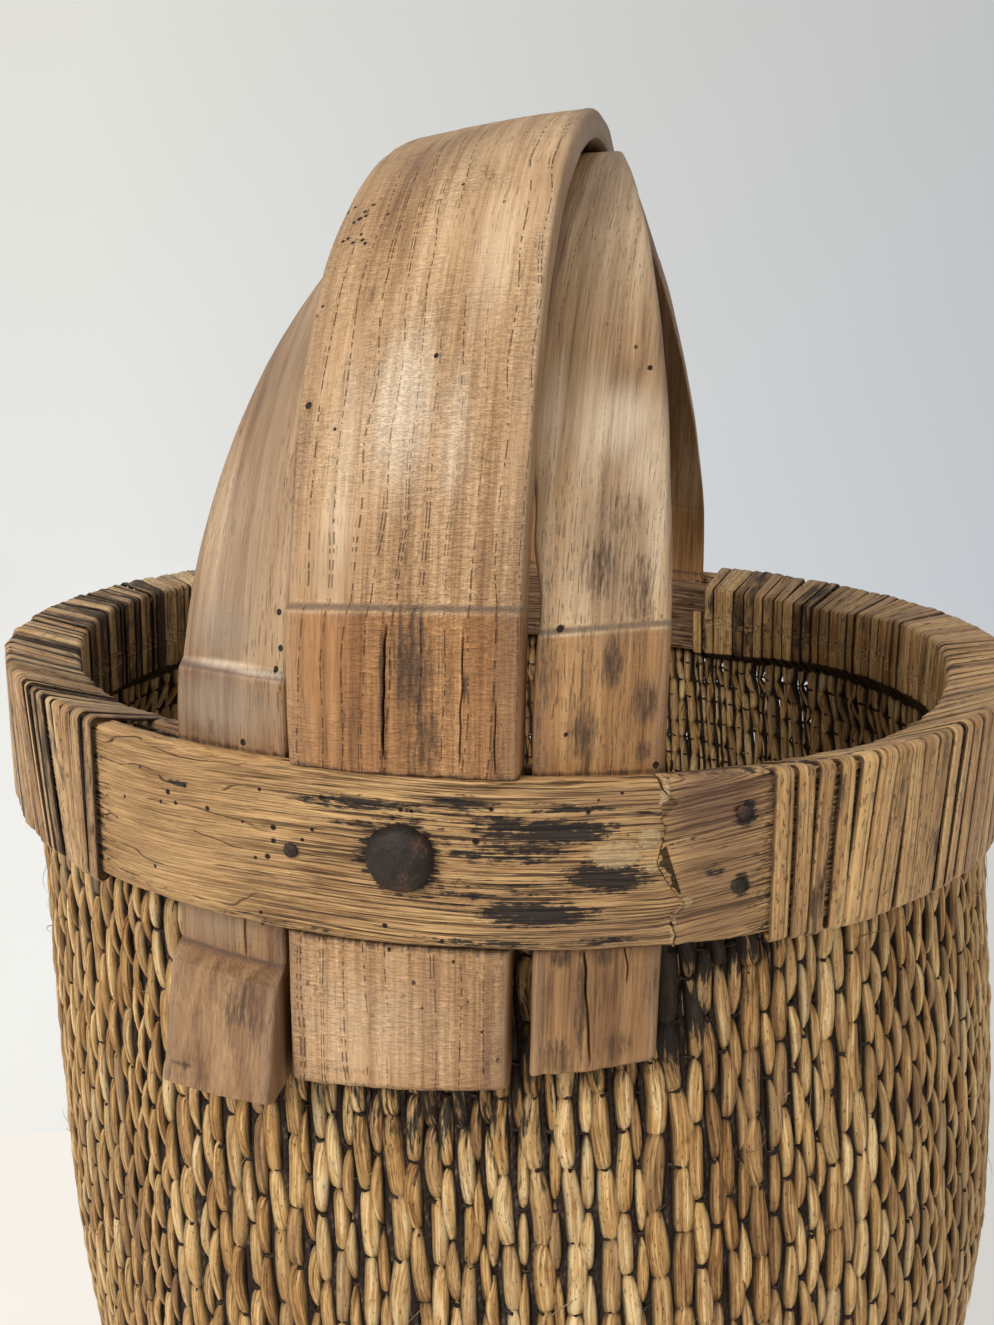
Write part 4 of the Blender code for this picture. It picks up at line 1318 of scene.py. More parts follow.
    def base_button(self, finish: Material) -> Object:
        """Coiled rod that fills the middle of the base, where the last rods run in.

        Args:
            finish: Its material.

        Returns:
            The coil.
        """
        turns, rings, sides = 3.5, 90, 8
        share = np.linspace(0, 1, rings)
        angle = share * turns * math.tau
        reach = 2 * MM + 15 * MM * share
        foot = RIM.centre.z - self.profile[-1][0]
        middle = np.array([RIM.centre.x + self.lean, RIM.centre.y, foot + 3.4 * MM])
        spots = middle + np.stack([reach * np.cos(angle), reach * np.sin(angle), 0 * angle], axis=1)
        outward = np.stack([np.cos(angle), np.sin(angle), 0 * angle], axis=1)
        turn = ring_turns(sides)
        radius = np.full((rings, 1), 2.6 * MM)
        radius[0] = radius[-1] = 1.2 * MM
        points = ringed(spots, outward, np.array([[0, 0, 1.0]]), radius, radius, turn)
        lay = triples(turn[None] * 2 * MM, (share * 0.18)[:, None], 3.0)
        # The coil's flanks get painted shade through the third number of kind.
        kind = triples(0.45, 0.3, np.abs(np.cos(turn))[None] * 0.6 + 0 * share[:, None])
        tube = Tube(rings, sides)
        piece = tube.along("base_button", points, lay=lay, kind=kind, soot=kind * 0)
        tube.put_away()
        return dressed(piece, finish, sharp=THIN_ROUND_SHARP)


# Rim bands


class Channel(IntEnum):
    """Which number of a wooden piece's mark is raised."""

    STAIN = 0
    TINT = 1
    # Fresh torn wood on a band, painted sheen on a strap.
    WEAR_AND_SHEEN = 2


@dataclass(frozen=True)
class Mark:
    """A soft oval mark on a wooden piece.

    Args:
        channel: Which number of the piece's mark it raises.
        x: Middle across the piece: degrees on a band, millimetres on a strap.
        y: Middle up or along the piece, in millimetres.
        reach_x: Half its size across.
        reach_y: Half its size up or along.
        strength: How strong it is.
    """

    channel: Channel
    x: float
    y: float
    reach_x: float
    reach_y: float
    strength: float


def marks_of(channel: Channel, *rows: tuple[float, ...]) -> tuple[Mark, ...]:
    """Marks of one channel, from rows of their middles, reaches and strengths."""
    return tuple(Mark(channel, *row) for row in rows)


def raise_marks(found: Array, channel: Channel, level: Array) -> None:
    """Raise one channel to a level wherever it is lower."""
    found[..., channel] = np.maximum(found[..., channel], level)


def marked(marks: Sequence[Mark], x: Array, y: Array) -> Array:
    """Strength of the marks at places, as an array with three numbers a place.

    Args:
        marks: The marks.
        x: Places across the piece.
        y: Places up or along it.

    Returns:
        The strengths, 0 where no mark reaches.
    """
    found = np.zeros((*x.shape, 3))
    for mark in marks:
        spread = ((x - mark.x) / mark.reach_x) ** 2 + ((y - mark.y) / mark.reach_y) ** 2
        raise_marks(found, mark.channel, mark.strength * np.exp(-spread ** 1.5))
    return found


def ripples(x: Array, y: Array | float, seed: float) -> Array:
    """Ripple at each of many places; the coordinates are spread to one shape.

    Args:
        x: First coordinates.
        y: Second coordinates.
        seed: Picks an unlike pattern.

    Returns:
        The ripples, about -0.5 to 0.5.
    """
    x, y = np.broadcast_arrays(x, y)
    flat = [ripple(a, b, seed) for a, b in zip(x.ravel(), y.ravel())]
    return np.array(flat).reshape(x.shape)


def hoop_spots(half: tuple[float, float], angle: Array, z: Array, out: Array) -> Array:
    """Points on an oval hoop in the row frame."""
    points = np.stack([(half[0] + out) * np.sin(angle), -(half[1] + out) * np.cos(angle), z], axis=-1)
    return points + np.array(RIM.centre)


@dataclass
class RimBands:
    """Outer band with its open crack, and inner band."""

    fine_step: float = 0.27
    coarse_step: float = 2.4
    bare_reach: float = 32.0
    face_rows: int = 44
    edge_round: float = 1.5 * MM
    crack_line: tuple[tuple[float, float], ...] = (
        (20.5, 0.0), (20.6, -2.0), (21.1, -4.2), (22.1, -6.0), (21.3, -8.4), (20.6, -11.0), (21.2, -13.0),
        (20.9, -18.0), (20.5, -24.0), (21.2, -28.5), (22.1, -33.0), (23.2, -37.2), (22.1, -39.4), (22.0, -43.0),
        (22.5, -46.0), (22.3, -50.0),
    )
    crack_widths: tuple[tuple[float, float], ...] = (
        (0.26, 0.0), (0.12, -3.0), (0.03, -5.5), (0.2, -8.0), (0.22, -9.6), (0.03, -11.5), (0.02, -22.0),
        (0.04, -24.0), (0.08, -27.0), (0.06, -29.0), (0.08, -31.5), (0.05, -34.0), (0.03, -37.2), (0.2, -39.4),
        (0.12, -42.0), (0.26, -45.0), (0.18, -47.0), (0.34, -50.0),
    )
    marks: tuple[Mark, ...] = (
        marks_of(
            Channel.STAIN, (5, -6.5, 3.6, 3, 0.8), (14, -7.5, 4.5, 2.2, 0.72), (8.4, -13.2, 3.4, 5, 0.85),
            (12.8, -14, 5.4, 4.6, 1), (8.5, -20.5, 7.5, 4.6, 0.72), (16.6, -27.7, 4.4, 5.6, 1),
            (11, -38.2, 6.4, 5.2, 0.92), (10, -31, 9.5, 4, 0.52), (7, -47.3, 6, 2.2, 0.72),
            (16.7, -46.6, 3.6, 2.2, 0.65), (2.5, -17, 4.5, 9, 0.55), (4.5, -33, 4.5, 9, 0.5),
            (-3.4, -8.4, 7, 2.4, 0.8), (-1.8, -14.5, 5, 2.2, 0.66), (19.3, -9.4, 2, 4, 0.45),
            (27.9, -11.6, 1.2, 5, 0.95), (27.9, -33, 1, 4, 0.95), (25.4, -28, 1.4, 3, 0.7), (24, -18, 4, 5, 0.4),
            (-19.5, -11, 1.6, 1.6, 0.7), (-25, -46, 6, 3, 0.4), (-12, -48, 9, 1.8, 0.55), (178, -20, 12, 9, 0.6),
            (165, -42, 9, 6, 0.6))
        + marks_of(
            Channel.TINT, (25.5, -7, 5, 11, 1), (26, -30, 4.5, 26, 0.65), (16, -44, 9, 7, 0.5),
            (17, -6, 5, 5, 0.5), (190, -32, 14, 12, 0.6))
        + marks_of(
            Channel.WEAR_AND_SHEEN, (17.2, -21, 2.2, 4.2, 0.95), (19.8, -16.5, 1, 3, 0.9), (20.9, -4, 0.4, 5.5, 0.9),
            (20.2, -25, 0.6, 2.6, 0.8), (23.2, -36.5, 0.6, 1.6, 0.9), (22.2, -45.5, 0.24, 6, 0.85))
    )

    def _angles(self) -> Array:
        """Angles of the outer band's sections, from the crack round to the crack again, in degrees.

        Returns:
            The angles.
        """
        first = self.crack_line[0][0]
        angles = [0.0]
        while angles[-1] < 360.0:
            here = (first + angles[-1]) % 360.0
            off_front = min(here, 360.0 - here)
            off_back = abs(here - 180.0)
            step = self.fine_step if off_front < self.bare_reach else (
                self.fine_step * 2 if off_back < self.bare_reach else self.coarse_step)
            angles.append(angles[-1] + step)
        angles[-1] = 360.0
        return np.array(angles) + first

    def _section(self) -> tuple[Array, ...]:
        """Corners of the outer band's section: outward shift, z, and 1 on its outer face.

        Returns:
            Three arrays with one number for each corner.
        """
        ease, thick, height = self.edge_round, BAND_THICK, RIM.outer_height
        straight = height - 2 * ease
        last = self.face_rows - 1
        corners = [(0.0, -height + ease + straight * (row / last), 1.0) for row in range(self.face_rows)]
        corners += [(-ease * 0.3, -ease * 0.3, 0.6), (-ease, 0.0, 0.2), (-thick * 0.5, 0.0, 0.1),
                    (-thick + ease, 0.0, 0.1), (-thick, -ease, 0.0)]
        corners += [(-thick, -ease - straight * row / 8, 0.0) for row in range(1, 8)]
        corners += [(-thick, -height + ease, 0.0), (-thick + ease, -height, 0.1), (-thick * 0.5, -height, 0.1),
                    (-ease, -height, 0.2), (-ease * 0.3, -height + ease * 0.3, 0.6)]
        return tuple(np.array(column) for column in zip(*corners))

    def outer(self, finish: Material) -> Object:
        """The outer band, cracked open at the front right.

        Args:
            finish: Its material.

        Returns:
            The band.
        """
        angles = self._angles()
        outs, heights, faces = self._section()
        degrees, z = np.broadcast_arrays(angles[:, None], heights[None])
        line = np.array(self.crack_line)
        crack = np.interp(-heights / MM, -line[:, 1], line[:, 0])
        crack = crack + 0.1 * ripples(heights * 900, 0.0, 3.0) * 2
        bend = crack - line[0, 0]
        from_start = np.clip(1 - (angles - angles[0]) / 3.5, 0, 1)
        from_end = np.clip(1 - (angles[-1] - angles) / 3.5, 0, 1)
        degrees = degrees + bend[None] * (from_start + from_end)[:, None]
        gap = np.array(self.crack_widths)
        width = np.interp(-heights / MM, -gap[:, 1], gap[:, 0])
        width = width + 0.05 * ripples(heights * 500, 4.0, 6.0)
        degrees += 0.5 * width[None] * (from_start ** 3 - from_end ** 3)[:, None]
        lift = 0.55 * MM * from_start[:, None] ** 1.5
        reach = np.radians(degrees) * RIM.outer_half[1]
        wave = 2.2 * MM * np.sin(reach * 21) + 1.4 * MM * np.sin(reach * 57 + 1.0)
        front = np.abs((degrees + 180) % 360 - 180)
        place = (degrees + 120) % 360 - 120
        slope = np.clip(place - 21, 0, 40) * (place < 60) * 0.42 * MM
        grain = z - wave * 0.45 - slope
        coarse = ripples(reach * 26, grain * 260, 1.0)
        fine = ripples(reach * 60, grain * 700, 2.0)
        deep = np.clip(ripples(reach * 16, grain * 420, 9.0) * -2 - 0.3, 0, 1)
        dent = (coarse * 0.55 + fine * 0.3) * MM - deep * 0.9 * MM - 0.25 * MM
        broad = ripples(reach * 12, z * 40, 4.0) * 0.5 * MM
        out = outs[None] + np.minimum((dent + broad) * faces[None], 0.0) + lift * faces[None]
        edge = np.where(heights > -self.edge_round * 1.05, 1.0, 0.0)
        low_edge = np.where(heights < -RIM.outer_height + self.edge_round * 1.05, 1.0, 0.0)
        nibble = ripples(reach * 42, 0.0, 5.0) * 1.6 * MM + ripples(reach * 150, 0.0, 6.0) * 0.7 * MM
        z = z - np.abs(nibble) * edge[None] * 0.6 + np.abs(nibble) * low_edge[None]
        points = hoop_spots(RIM.outer_half, np.radians(degrees), z, out)
        run = np.radians(np.where(degrees > 250, degrees - 360, degrees)) * RIM.outer_half[1]
        lay = triples(run, grain, outs[None])
        mark = marked(self.marks, place, z / MM)
        # Painted shade: the band is darkened under the cane and off the bare stretches, so the gaps between the
        # strips show dark.
        shade_under_cane = eased((np.abs(place) - 28.8) / 2) * (place < 90) + eased((place - 150) / -2 + 0.5) * (place >= 90)
        raise_marks(mark, Channel.STAIN, np.where(place > 0, 0.35, 0.75) * shade_under_cane * (np.abs(place) > 25))
        bare = np.clip((self.bare_reach - 2 - np.minimum(front, 180 - front)) / 3, 0, 1)
        raise_marks(mark, Channel.STAIN, 0.5 * (1 - bare))
        nail = ((place - 0.4) * 3.5) ** 2 + (z / MM + 23.0) ** 2
        raise_marks(mark, Channel.STAIN, 0.98 * np.exp(-(nail / 190.0) ** 1.6))
        tube = Tube(len(angles), len(heights))
        piece = tube.along("outer_band", points, lay=lay, mark=mark)
        tube.put_away()
        return dressed(piece, finish, ["rim_outer_band"], 50)

    def inner(self, finish: Material) -> Object:
        """The inner band: a plain split hoop inside the wall.

        Args:
            finish: Its material.

        Returns:
            The band.
        """
        steps = 240
        ease, thick, top, height = 1.2 * MM, INNER_THICK, RIM.inner_top, RIM.inner_height
        straight, bottom = height - 2 * ease, top - height
        corners = [(0.0, bottom + ease + straight * row / 11) for row in range(12)]
        corners += [(-ease, top), (-thick + ease, top), (-thick, top - ease)]
        corners += [(-thick, top - ease - straight * row / 15) for row in range(1, 15)]
        corners += [(-thick, bottom + ease), (-thick + ease, bottom), (-ease, bottom)]
        outs, heights = (np.array(column) for column in zip(*corners))
        degrees, z, out = np.broadcast_arrays(np.linspace(90, 450, steps + 1)[:, None], heights[None], outs[None])
        reach = np.radians(degrees) * RIM.inner_half[1]
        turn = np.radians(degrees)
        inside = out < -thick * 0.9
        bump = ripples(np.cos(turn) * 20 * 0.6, np.sin(turn) * 20 * 0.6 + z * 300, 11.0) * 0.5 * MM * inside
        place = np.abs((degrees + 180) % 360 - 180)
        wrapped = eased((place - 30) / 4) * eased((152 - place) / 4)
        edge = np.minimum(RimWear.at(RimWear.INNER_EDGE, degrees) - 3 * MM * wrapped, top)
        foot = top - height + (RimWear.at(RimWear.LOWER_EDGE, degrees) + 3 * MM - top + height) * wrapped
        share = (z - top + height) / height
        z = foot + (edge - foot) * share
        points = hoop_spots(RIM.inner_half, turn, z, out + np.abs(bump))
        lay = triples(reach, z, out)
        mark = triples(np.full_like(z, 0.35), 0.8, 0.0)
        tube = Tube(steps + 1, len(outs), capped=False)
        piece = tube.along("inner_band", points, lay=lay, mark=mark)
        tube.put_away()
        in_edit_mode(piece, merge_doubles)
        return dressed(piece, finish, ["rim_inner_band"], 50)


# Handle


@dataclass(frozen=True)
class Arch:
    """Superellipse in the YZ plane that a strap's edge follows.

    Args:
        reach: Distance from the middle at the rim.
        rise: Height over the rim.
        power: Exponent.
    """

    reach: float
    rise: float
    power: float

    def points(self, place: Array) -> tuple[Array, Array]:
        """Y and Z at places: a height when below 0, else the share of the way to the crown.

        Args:
            place: The places.

        Returns:
            Y and Z.
        """
        height = np.sin(np.clip(place, 0, 1) * math.pi / 2)
        y = -self.reach * np.clip(1 - height ** self.power, 0, 1) ** (1 / self.power)
        return np.where(place <= 0, -self.reach, y), np.where(place <= 0, place, self.rise * height)

    def normals(self, place: Array) -> tuple[Array, Array]:
        """Outward directions square to the arch.

        Args:
            place: The places.

        Returns:
            Y and Z of the directions.
        """
        small = 0.002
        y0, z0 = self.points(np.clip(place - small, 0.0001, 0.9999))
        y1, z1 = self.points(np.clip(place + small, 0.0001, 0.9999))
        length = np.hypot(y1 - y0, z1 - z0) + 1e-12
        low, high = place <= 0, place >= 1
        ny = np.where(low, -1.0, np.where(high, 0.0, -(z1 - z0) / length))
        nz = np.where(low, 0.0, np.where(high, 1.0, (y1 - y0) / length))
        return ny, nz

    def place_at(self, z: float) -> float:
        """Share of the way to the crown at which the arch reaches a height."""
        return math.asin(z / self.rise) / (math.pi / 2)


@dataclass(frozen=True)
class Split:
    """A crack along a strap's grain, open in the surface.

    Args:
        x: Where it runs, in millimetres across the strap's row.
        low: Its lower end, in millimetres along the strap.
        high: Its upper end.
        half: Half its width in millimetres.
        depth: Its depth in millimetres.
        lean: How far it runs sideways over its length, in millimetres.
    """

    x: float
    low: float
    high: float
    half: float = 0.4
    depth: float = 1.6
    lean: float = 0.0


def rim_bow(x: Array) -> Array:
    """How far the rim's curve falls back at a sideways place, from the front."""
    return RIM.outer_half[1] * (1 - np.sqrt(1 - np.clip(np.abs(x) / RIM.outer_half[0], 0, 1) ** 2))


def eased(value: Array) -> Array:
    """Smoothstep of many numbers."""
    value = np.clip(value, 0, 1)
    return value * value * (3 - 2 * value)


@dataclass
class Strap:
    """One bent strap of the handle, from its front lower end over the crown to its back lower end.

    Args:
        name: The piece's name.
        node: CAD node that it stands for.
        low_arch: Arch of the edge at low x.
        high_arch: Arch of the edge at high x.
        across: Whether the two arches set its curve across.
        edges: Gives its low and high x at places, on the front or back half.
        stations: (place, face height, depth of the back) from the foot to the crown.
        foot_slope: How much lower its end is at low and high x.
        shoulder: Height of the block above the rim.
        side: Side it stands on; a left one is built on the right and turned over.
        splits: Cracks of its front half.
        marks: Stains, grey worn patches and painted sheen of its front half.
        seed: Picks its unevenness.
    """

    name: str
    node: str
    low_arch: Arch
    high_arch: Arch
    across: bool
    edges: Callable[[Array, Array], tuple[Array, Array]]
    stations: list[tuple[float, float, float]]
    foot_slope: tuple[float, float]
    shoulder: float
    side: Side = Side.RIGHT
    splits: tuple[Split, ...] = ()
    marks: tuple[Mark, ...] = ()
    seed: float = 1.0
    face_step: float = 1.15 * MM
    foot_level: float = -86 * MM
    notch: tuple[float, float] = (0.5 * MM, -50.5 * MM)
    low_ledge: float | None = None
    low_foot: float = 0.3

    def _lengths(self) -> tuple[Array, Array]:
        """Places and the lengths along the strap to them.

        Returns:
            The places and the lengths, from the foot to the crown.
        """
        foot = self.stations[0][0]
        below = np.linspace(foot, 0, 40, endpoint=False)
        above = np.linspace(0, 1, 1500)
        y, z = self.high_arch.points(np.maximum(above, 1e-9))
        y[0], z[0] = -self.high_arch.reach, 0.0
        ways = np.concatenate([[0.0], np.cumsum(np.hypot(np.diff(y), np.diff(z)))])
        return np.concatenate([below, above]), np.concatenate([below, ways])

    def _ways(self, crown: float) -> Array:
        """Lengths along the strap at which it gets a section.

        Args:
            crown: Length up to the crown.

        Returns:
            The lengths, in order.
        """
        foot = self.stations[0][0]
        shoulder = self.shoulder
        ways = list(np.arange(foot, self.notch[1], 1.0 * MM)) + [self.notch[1] - 1e-6, self.notch[1] + 1e-6]
        ways += list(np.arange(self.notch[1] + 6 * MM, self.notch[0] - 5 * MM, 8 * MM))
        ways += [self.notch[0] - 1e-6, self.notch[0] + 1e-6]
        ways += list(np.arange(self.notch[0] + 0.5 * MM, shoulder - 3 * MM, 1.1 * MM))
        ways += list(np.arange(shoulder - 3 * MM, shoulder + 7 * MM, 0.5 * MM))
        ways += list(np.arange(shoulder + 7 * MM, crown - 1 * MM, 2.6 * MM))
        return np.array(sorted(ways) + [crown])

    def _ring(self) -> tuple[Array, ...]:
        """The section's corners: share across, shift across and height in edge radii, share of height, split.

        Returns:
            Five arrays with one number for each corner.
        """
        low, high = (float(edge[0]) for edge in self.edges(np.array([0.0]), np.array([False])))
        width = high - low
        shares = list(np.linspace(0, 1, int(width / self.face_step)))
        split_of = [-1] * len(shares)
        for number, split in enumerate(self.splits):
            middle = (split.x * MM * self.side.value - low) / width
            near = [abs(share - middle) < 1.9 * MM / width for share in shares]
            shares = [share for share, close in zip(shares, near) if not close]
            split_of = [mark for mark, close in zip(split_of, near) if not close]
            for off in (-1.6, -1.0, 0.0, 1.0, 1.6):
                shares.append(middle + off * split.half * MM / width)
                split_of.append(number if off == 0.0 else -1)
        order = np.argsort(shares)
        shares = np.array(shares)[order]
        split_of = np.array(split_of)[order]
        rows = [(share, 1 - 2 * share, 0.0, 1.0, mark) for share, mark in zip(shares, split_of)]
        bends = [math.radians(angle) for angle in (22.5, 45, 67.5, 90)]
        rows += [(1.0, -1 + math.sin(bend), math.cos(bend) - 1, 1.0, -1) for bend in bends]
        rows += [(1.0, 0.0, 0.0, height, -1) for height in (0.66, 0.33)]
        rows += [(1.0, -0.6 + 0.6 * math.cos(bend), 0.6 - 0.6 * math.sin(bend), 0.0, -1)
                 for bend in (0.0, bends[1], bends[3])]
        rows += [(share, 0.0, 0.0, 0.0, -1) for share in np.linspace(0.93, 0.07, 12)]
        rows += [(0.0, 0.6 - 0.6 * math.cos(bend), 0.6 - 0.6 * math.sin(bend), 0.0, -1)
                 for bend in (bends[3], bends[1], 0.0)]
        rows += [(0.0, 0.0, 0.0, height, -1) for height in (0.33, 0.66)]
        rows += [(0.0, 1 - math.sin(bend), math.cos(bend) - 1, 1.0, -1) for bend in bends[::-1]]
        return tuple(np.array(column) for column in zip(*rows))

    def build(self, finish: Material) -> Object:
        """Loft the strap finely, worn, split and notched where the band crosses it.

        Args:
            finish: Its material.

        Returns:
            The strap.
        """
        places, lengths = self._lengths()
        crown = lengths[-1]
        ways = self._ways(crown)
        keys = np.array(self.stations)
        key_ways = np.interp(keys[:, 0], places, lengths)
        half = np.stack([np.interp(ways, lengths, places), np.interp(ways, key_ways, keys[:, 1]),
                         np.interp(ways, key_ways, keys[:, 2]), ways], axis=1)
        table = np.concatenate([half, half[-2::-1]])
        behind = np.concatenate([np.zeros(len(half), bool), np.ones(len(half) - 1, bool)])[:, None]
        share, x_radii, h_radii, h_share, split_of = self._ring()
        place, face, depth, way = (table[:, column][:, None] for column in range(4))
        level = np.clip(place, 0, 1)
        low, high = self.edges(place, behind)
        front_low, front_high = self.edges(place, np.zeros_like(behind))
        shape = (len(table), len(share))
        along = np.where(behind, 2 * crown - way, way)
        wander = ripples(along * 30, share[None] * 2, self.seed) * MM
        radius = (2.0 + 1.6 * ripples(along * 22, 0.0, self.seed + 3)) * MM
        radius = radius + 0.8 * MM * (way > crown * 0.7)
        x = low + (high - low) * share[None] + radius * x_radii[None]
        edge = np.clip(1 - np.minimum(share, 1 - share) * 9, 0, 1)[None]
        x = x + wander * edge
        x_frac = np.clip((x - low) / (high - low), 0, 1)
        y0, z0 = self.low_arch.points(place)
        y1, z1 = self.high_arch.points(place)
        ny0, nz0 = self.low_arch.normals(place)
        ny1, nz1 = self.high_arch.normals(place)
        y, z = y0 + (y1 - y0) * x_frac, z0 + (z1 - z0) * x_frac
        ny, nz = ny0 + (ny1 - ny0) * x_frac, nz0 + (nz1 - nz0) * x_frac
        bow = rim_bow(x)
        if self.across:
            bow = bow - (rim_bow(front_low) + (rim_bow(front_high) - rim_bow(front_low)) * x_frac)
        bow = bow * (1 - 0.75 * level)
        height = -depth + (face + depth) * h_share[None] + radius * h_radii[None]
        is_face = (h_share > 0.9)[None] * 1.0
        rough = (ripples(along * 18, x * 60, self.seed + 1) * 0.7
                 + ripples(along * 70, x * 420, self.seed + 2) * 0.35)
        height = height + (rough - 0.3) * MM * is_face
        lip = np.exp(-((way - self.shoulder) / (3.2 * MM)) ** 2)
        height = height + lip * ripples(along * 9, x * 190, self.seed + 5) * 0.9 * MM * is_face
        for number, split in enumerate(self.splits):
            reach = (way / MM - split.low) / max(split.high - split.low, 1e-3)
            ends = eased(reach * 5) * eased((1 - reach) * 5) * ~behind
            fade = eased(reach * 6 + 1) * eased((1 - reach) * 6 + 1) * ~behind
            x_split = split.lean * MM * (np.clip(reach, 0, 1) - 0.5) * self.side.value
            x_split = (x_split + ripples(way * 130, 0.0, self.seed + number) * 1.3 * MM) * fade
            near = np.exp(-((share - share[np.argmax(split_of == number)]) * (high - low) / (3.5 * MM)) ** 2)
            x = x + x_split * near * is_face
            height = height - split.depth * MM * ends * (split_of == number)[None]
        foot = -(self.foot_slope[0] + (self.foot_slope[1] - self.foot_slope[0]) * x_frac)
        low_level = np.clip((self.foot_level + 2 * MM - place) / (2 * MM), 0, 1)
        z = z + foot * low_level
        end = self.stations[0][0]
        near_end = np.clip(1 - (place - end) / (4 * MM), 0, 1)
        z = z + near_end * (0.4 * MM + np.abs(ripples(x * 130, 0.0, self.seed + 7)) * 1.8 * MM)
        height = height - near_end ** 2 * radius * 0.5 * is_face
        above_notch = np.clip(1 - (place - self.notch[0]) / (5 * MM), 0, 1) * (place > 0)
        z = z + above_notch * np.abs(ripples(x * 110, 0.0, self.seed + 8)) * 2.2 * MM * (np.abs(place) < 0.05)
        in_notch = (place < self.notch[0]) & (place > self.notch[1]) & (way < 1 * MM)
        depth_y = y + (height - bow) * ny
        inner_face = -(RIM.outer_half[1] - BAND_THICK - 0.3 * MM) * np.sqrt(
            1 - np.clip(np.abs(x) / (RIM.outer_half[0] - BAND_THICK - 0.3 * MM), 0, 1) ** 2)
        clamped = np.maximum(depth_y, inner_face)
        back_y = np.maximum(depth_y, inner_face + 1.4 * MM)
        depth_y = np.where(in_notch, np.where(h_share[None] > 0.5, clamped, back_y), depth_y)
        points = triples(x * self.side.value, np.where(behind, -depth_y, depth_y), z + (height - bow) * nz)
        points[len(half) - 1, :, 1] = 0.0
        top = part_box(self.node)[1].z - RIM.centre.z
        points[..., 2] = np.minimum(points[..., 2], top)
        lay = triples(x * self.side.value, along + self.seed, height)
        mark = marked(self.marks, x * self.side.value / MM, along / MM)
        ledge = np.exp(-((way - self.shoulder - 1.3 * MM) / MM) ** 4) * is_face
        if self.low_ledge is not None:
            low = way - self.low_ledge - 0.8 * MM * ripples(x * 160, 0.0, self.seed + 9)
            ledge = np.maximum(ledge, np.exp(-(low / (0.7 * MM)) ** 4) * is_face)
        # Painted shadow: dark lines on the strap along the band's top and bottom edges.
        band_shadow_line = np.exp(-(way / (1.6 * MM)) ** 2) + np.exp(-((way + 50 * MM) / (2.2 * MM)) ** 2)
        raise_marks(mark, Channel.STAIN, 0.85 * band_shadow_line)
        raise_marks(mark, Channel.TINT, 0.25 * edge * is_face)
        foot = np.clip((self.shoulder - way) / (0.8 * MM), 0, 1) * np.where(way < 0, self.low_foot, 1.0)
        # Painted shade on the side faces, for the finish to darken.
        shaded_side_face = np.clip(np.where(h_share < 0.9, 1.0, np.abs(h_radii) * 1.3), 0, 1)[None]
        grain = triples(foot, shaded_side_face, ledge)
        tube = Tube(*shape)
        piece = tube.along(self.name, points + np.array(RIM.centre), lay=lay, mark=mark, grain=grain)
        tube.put_away()
        return dressed(piece, finish, [self.node], 38)


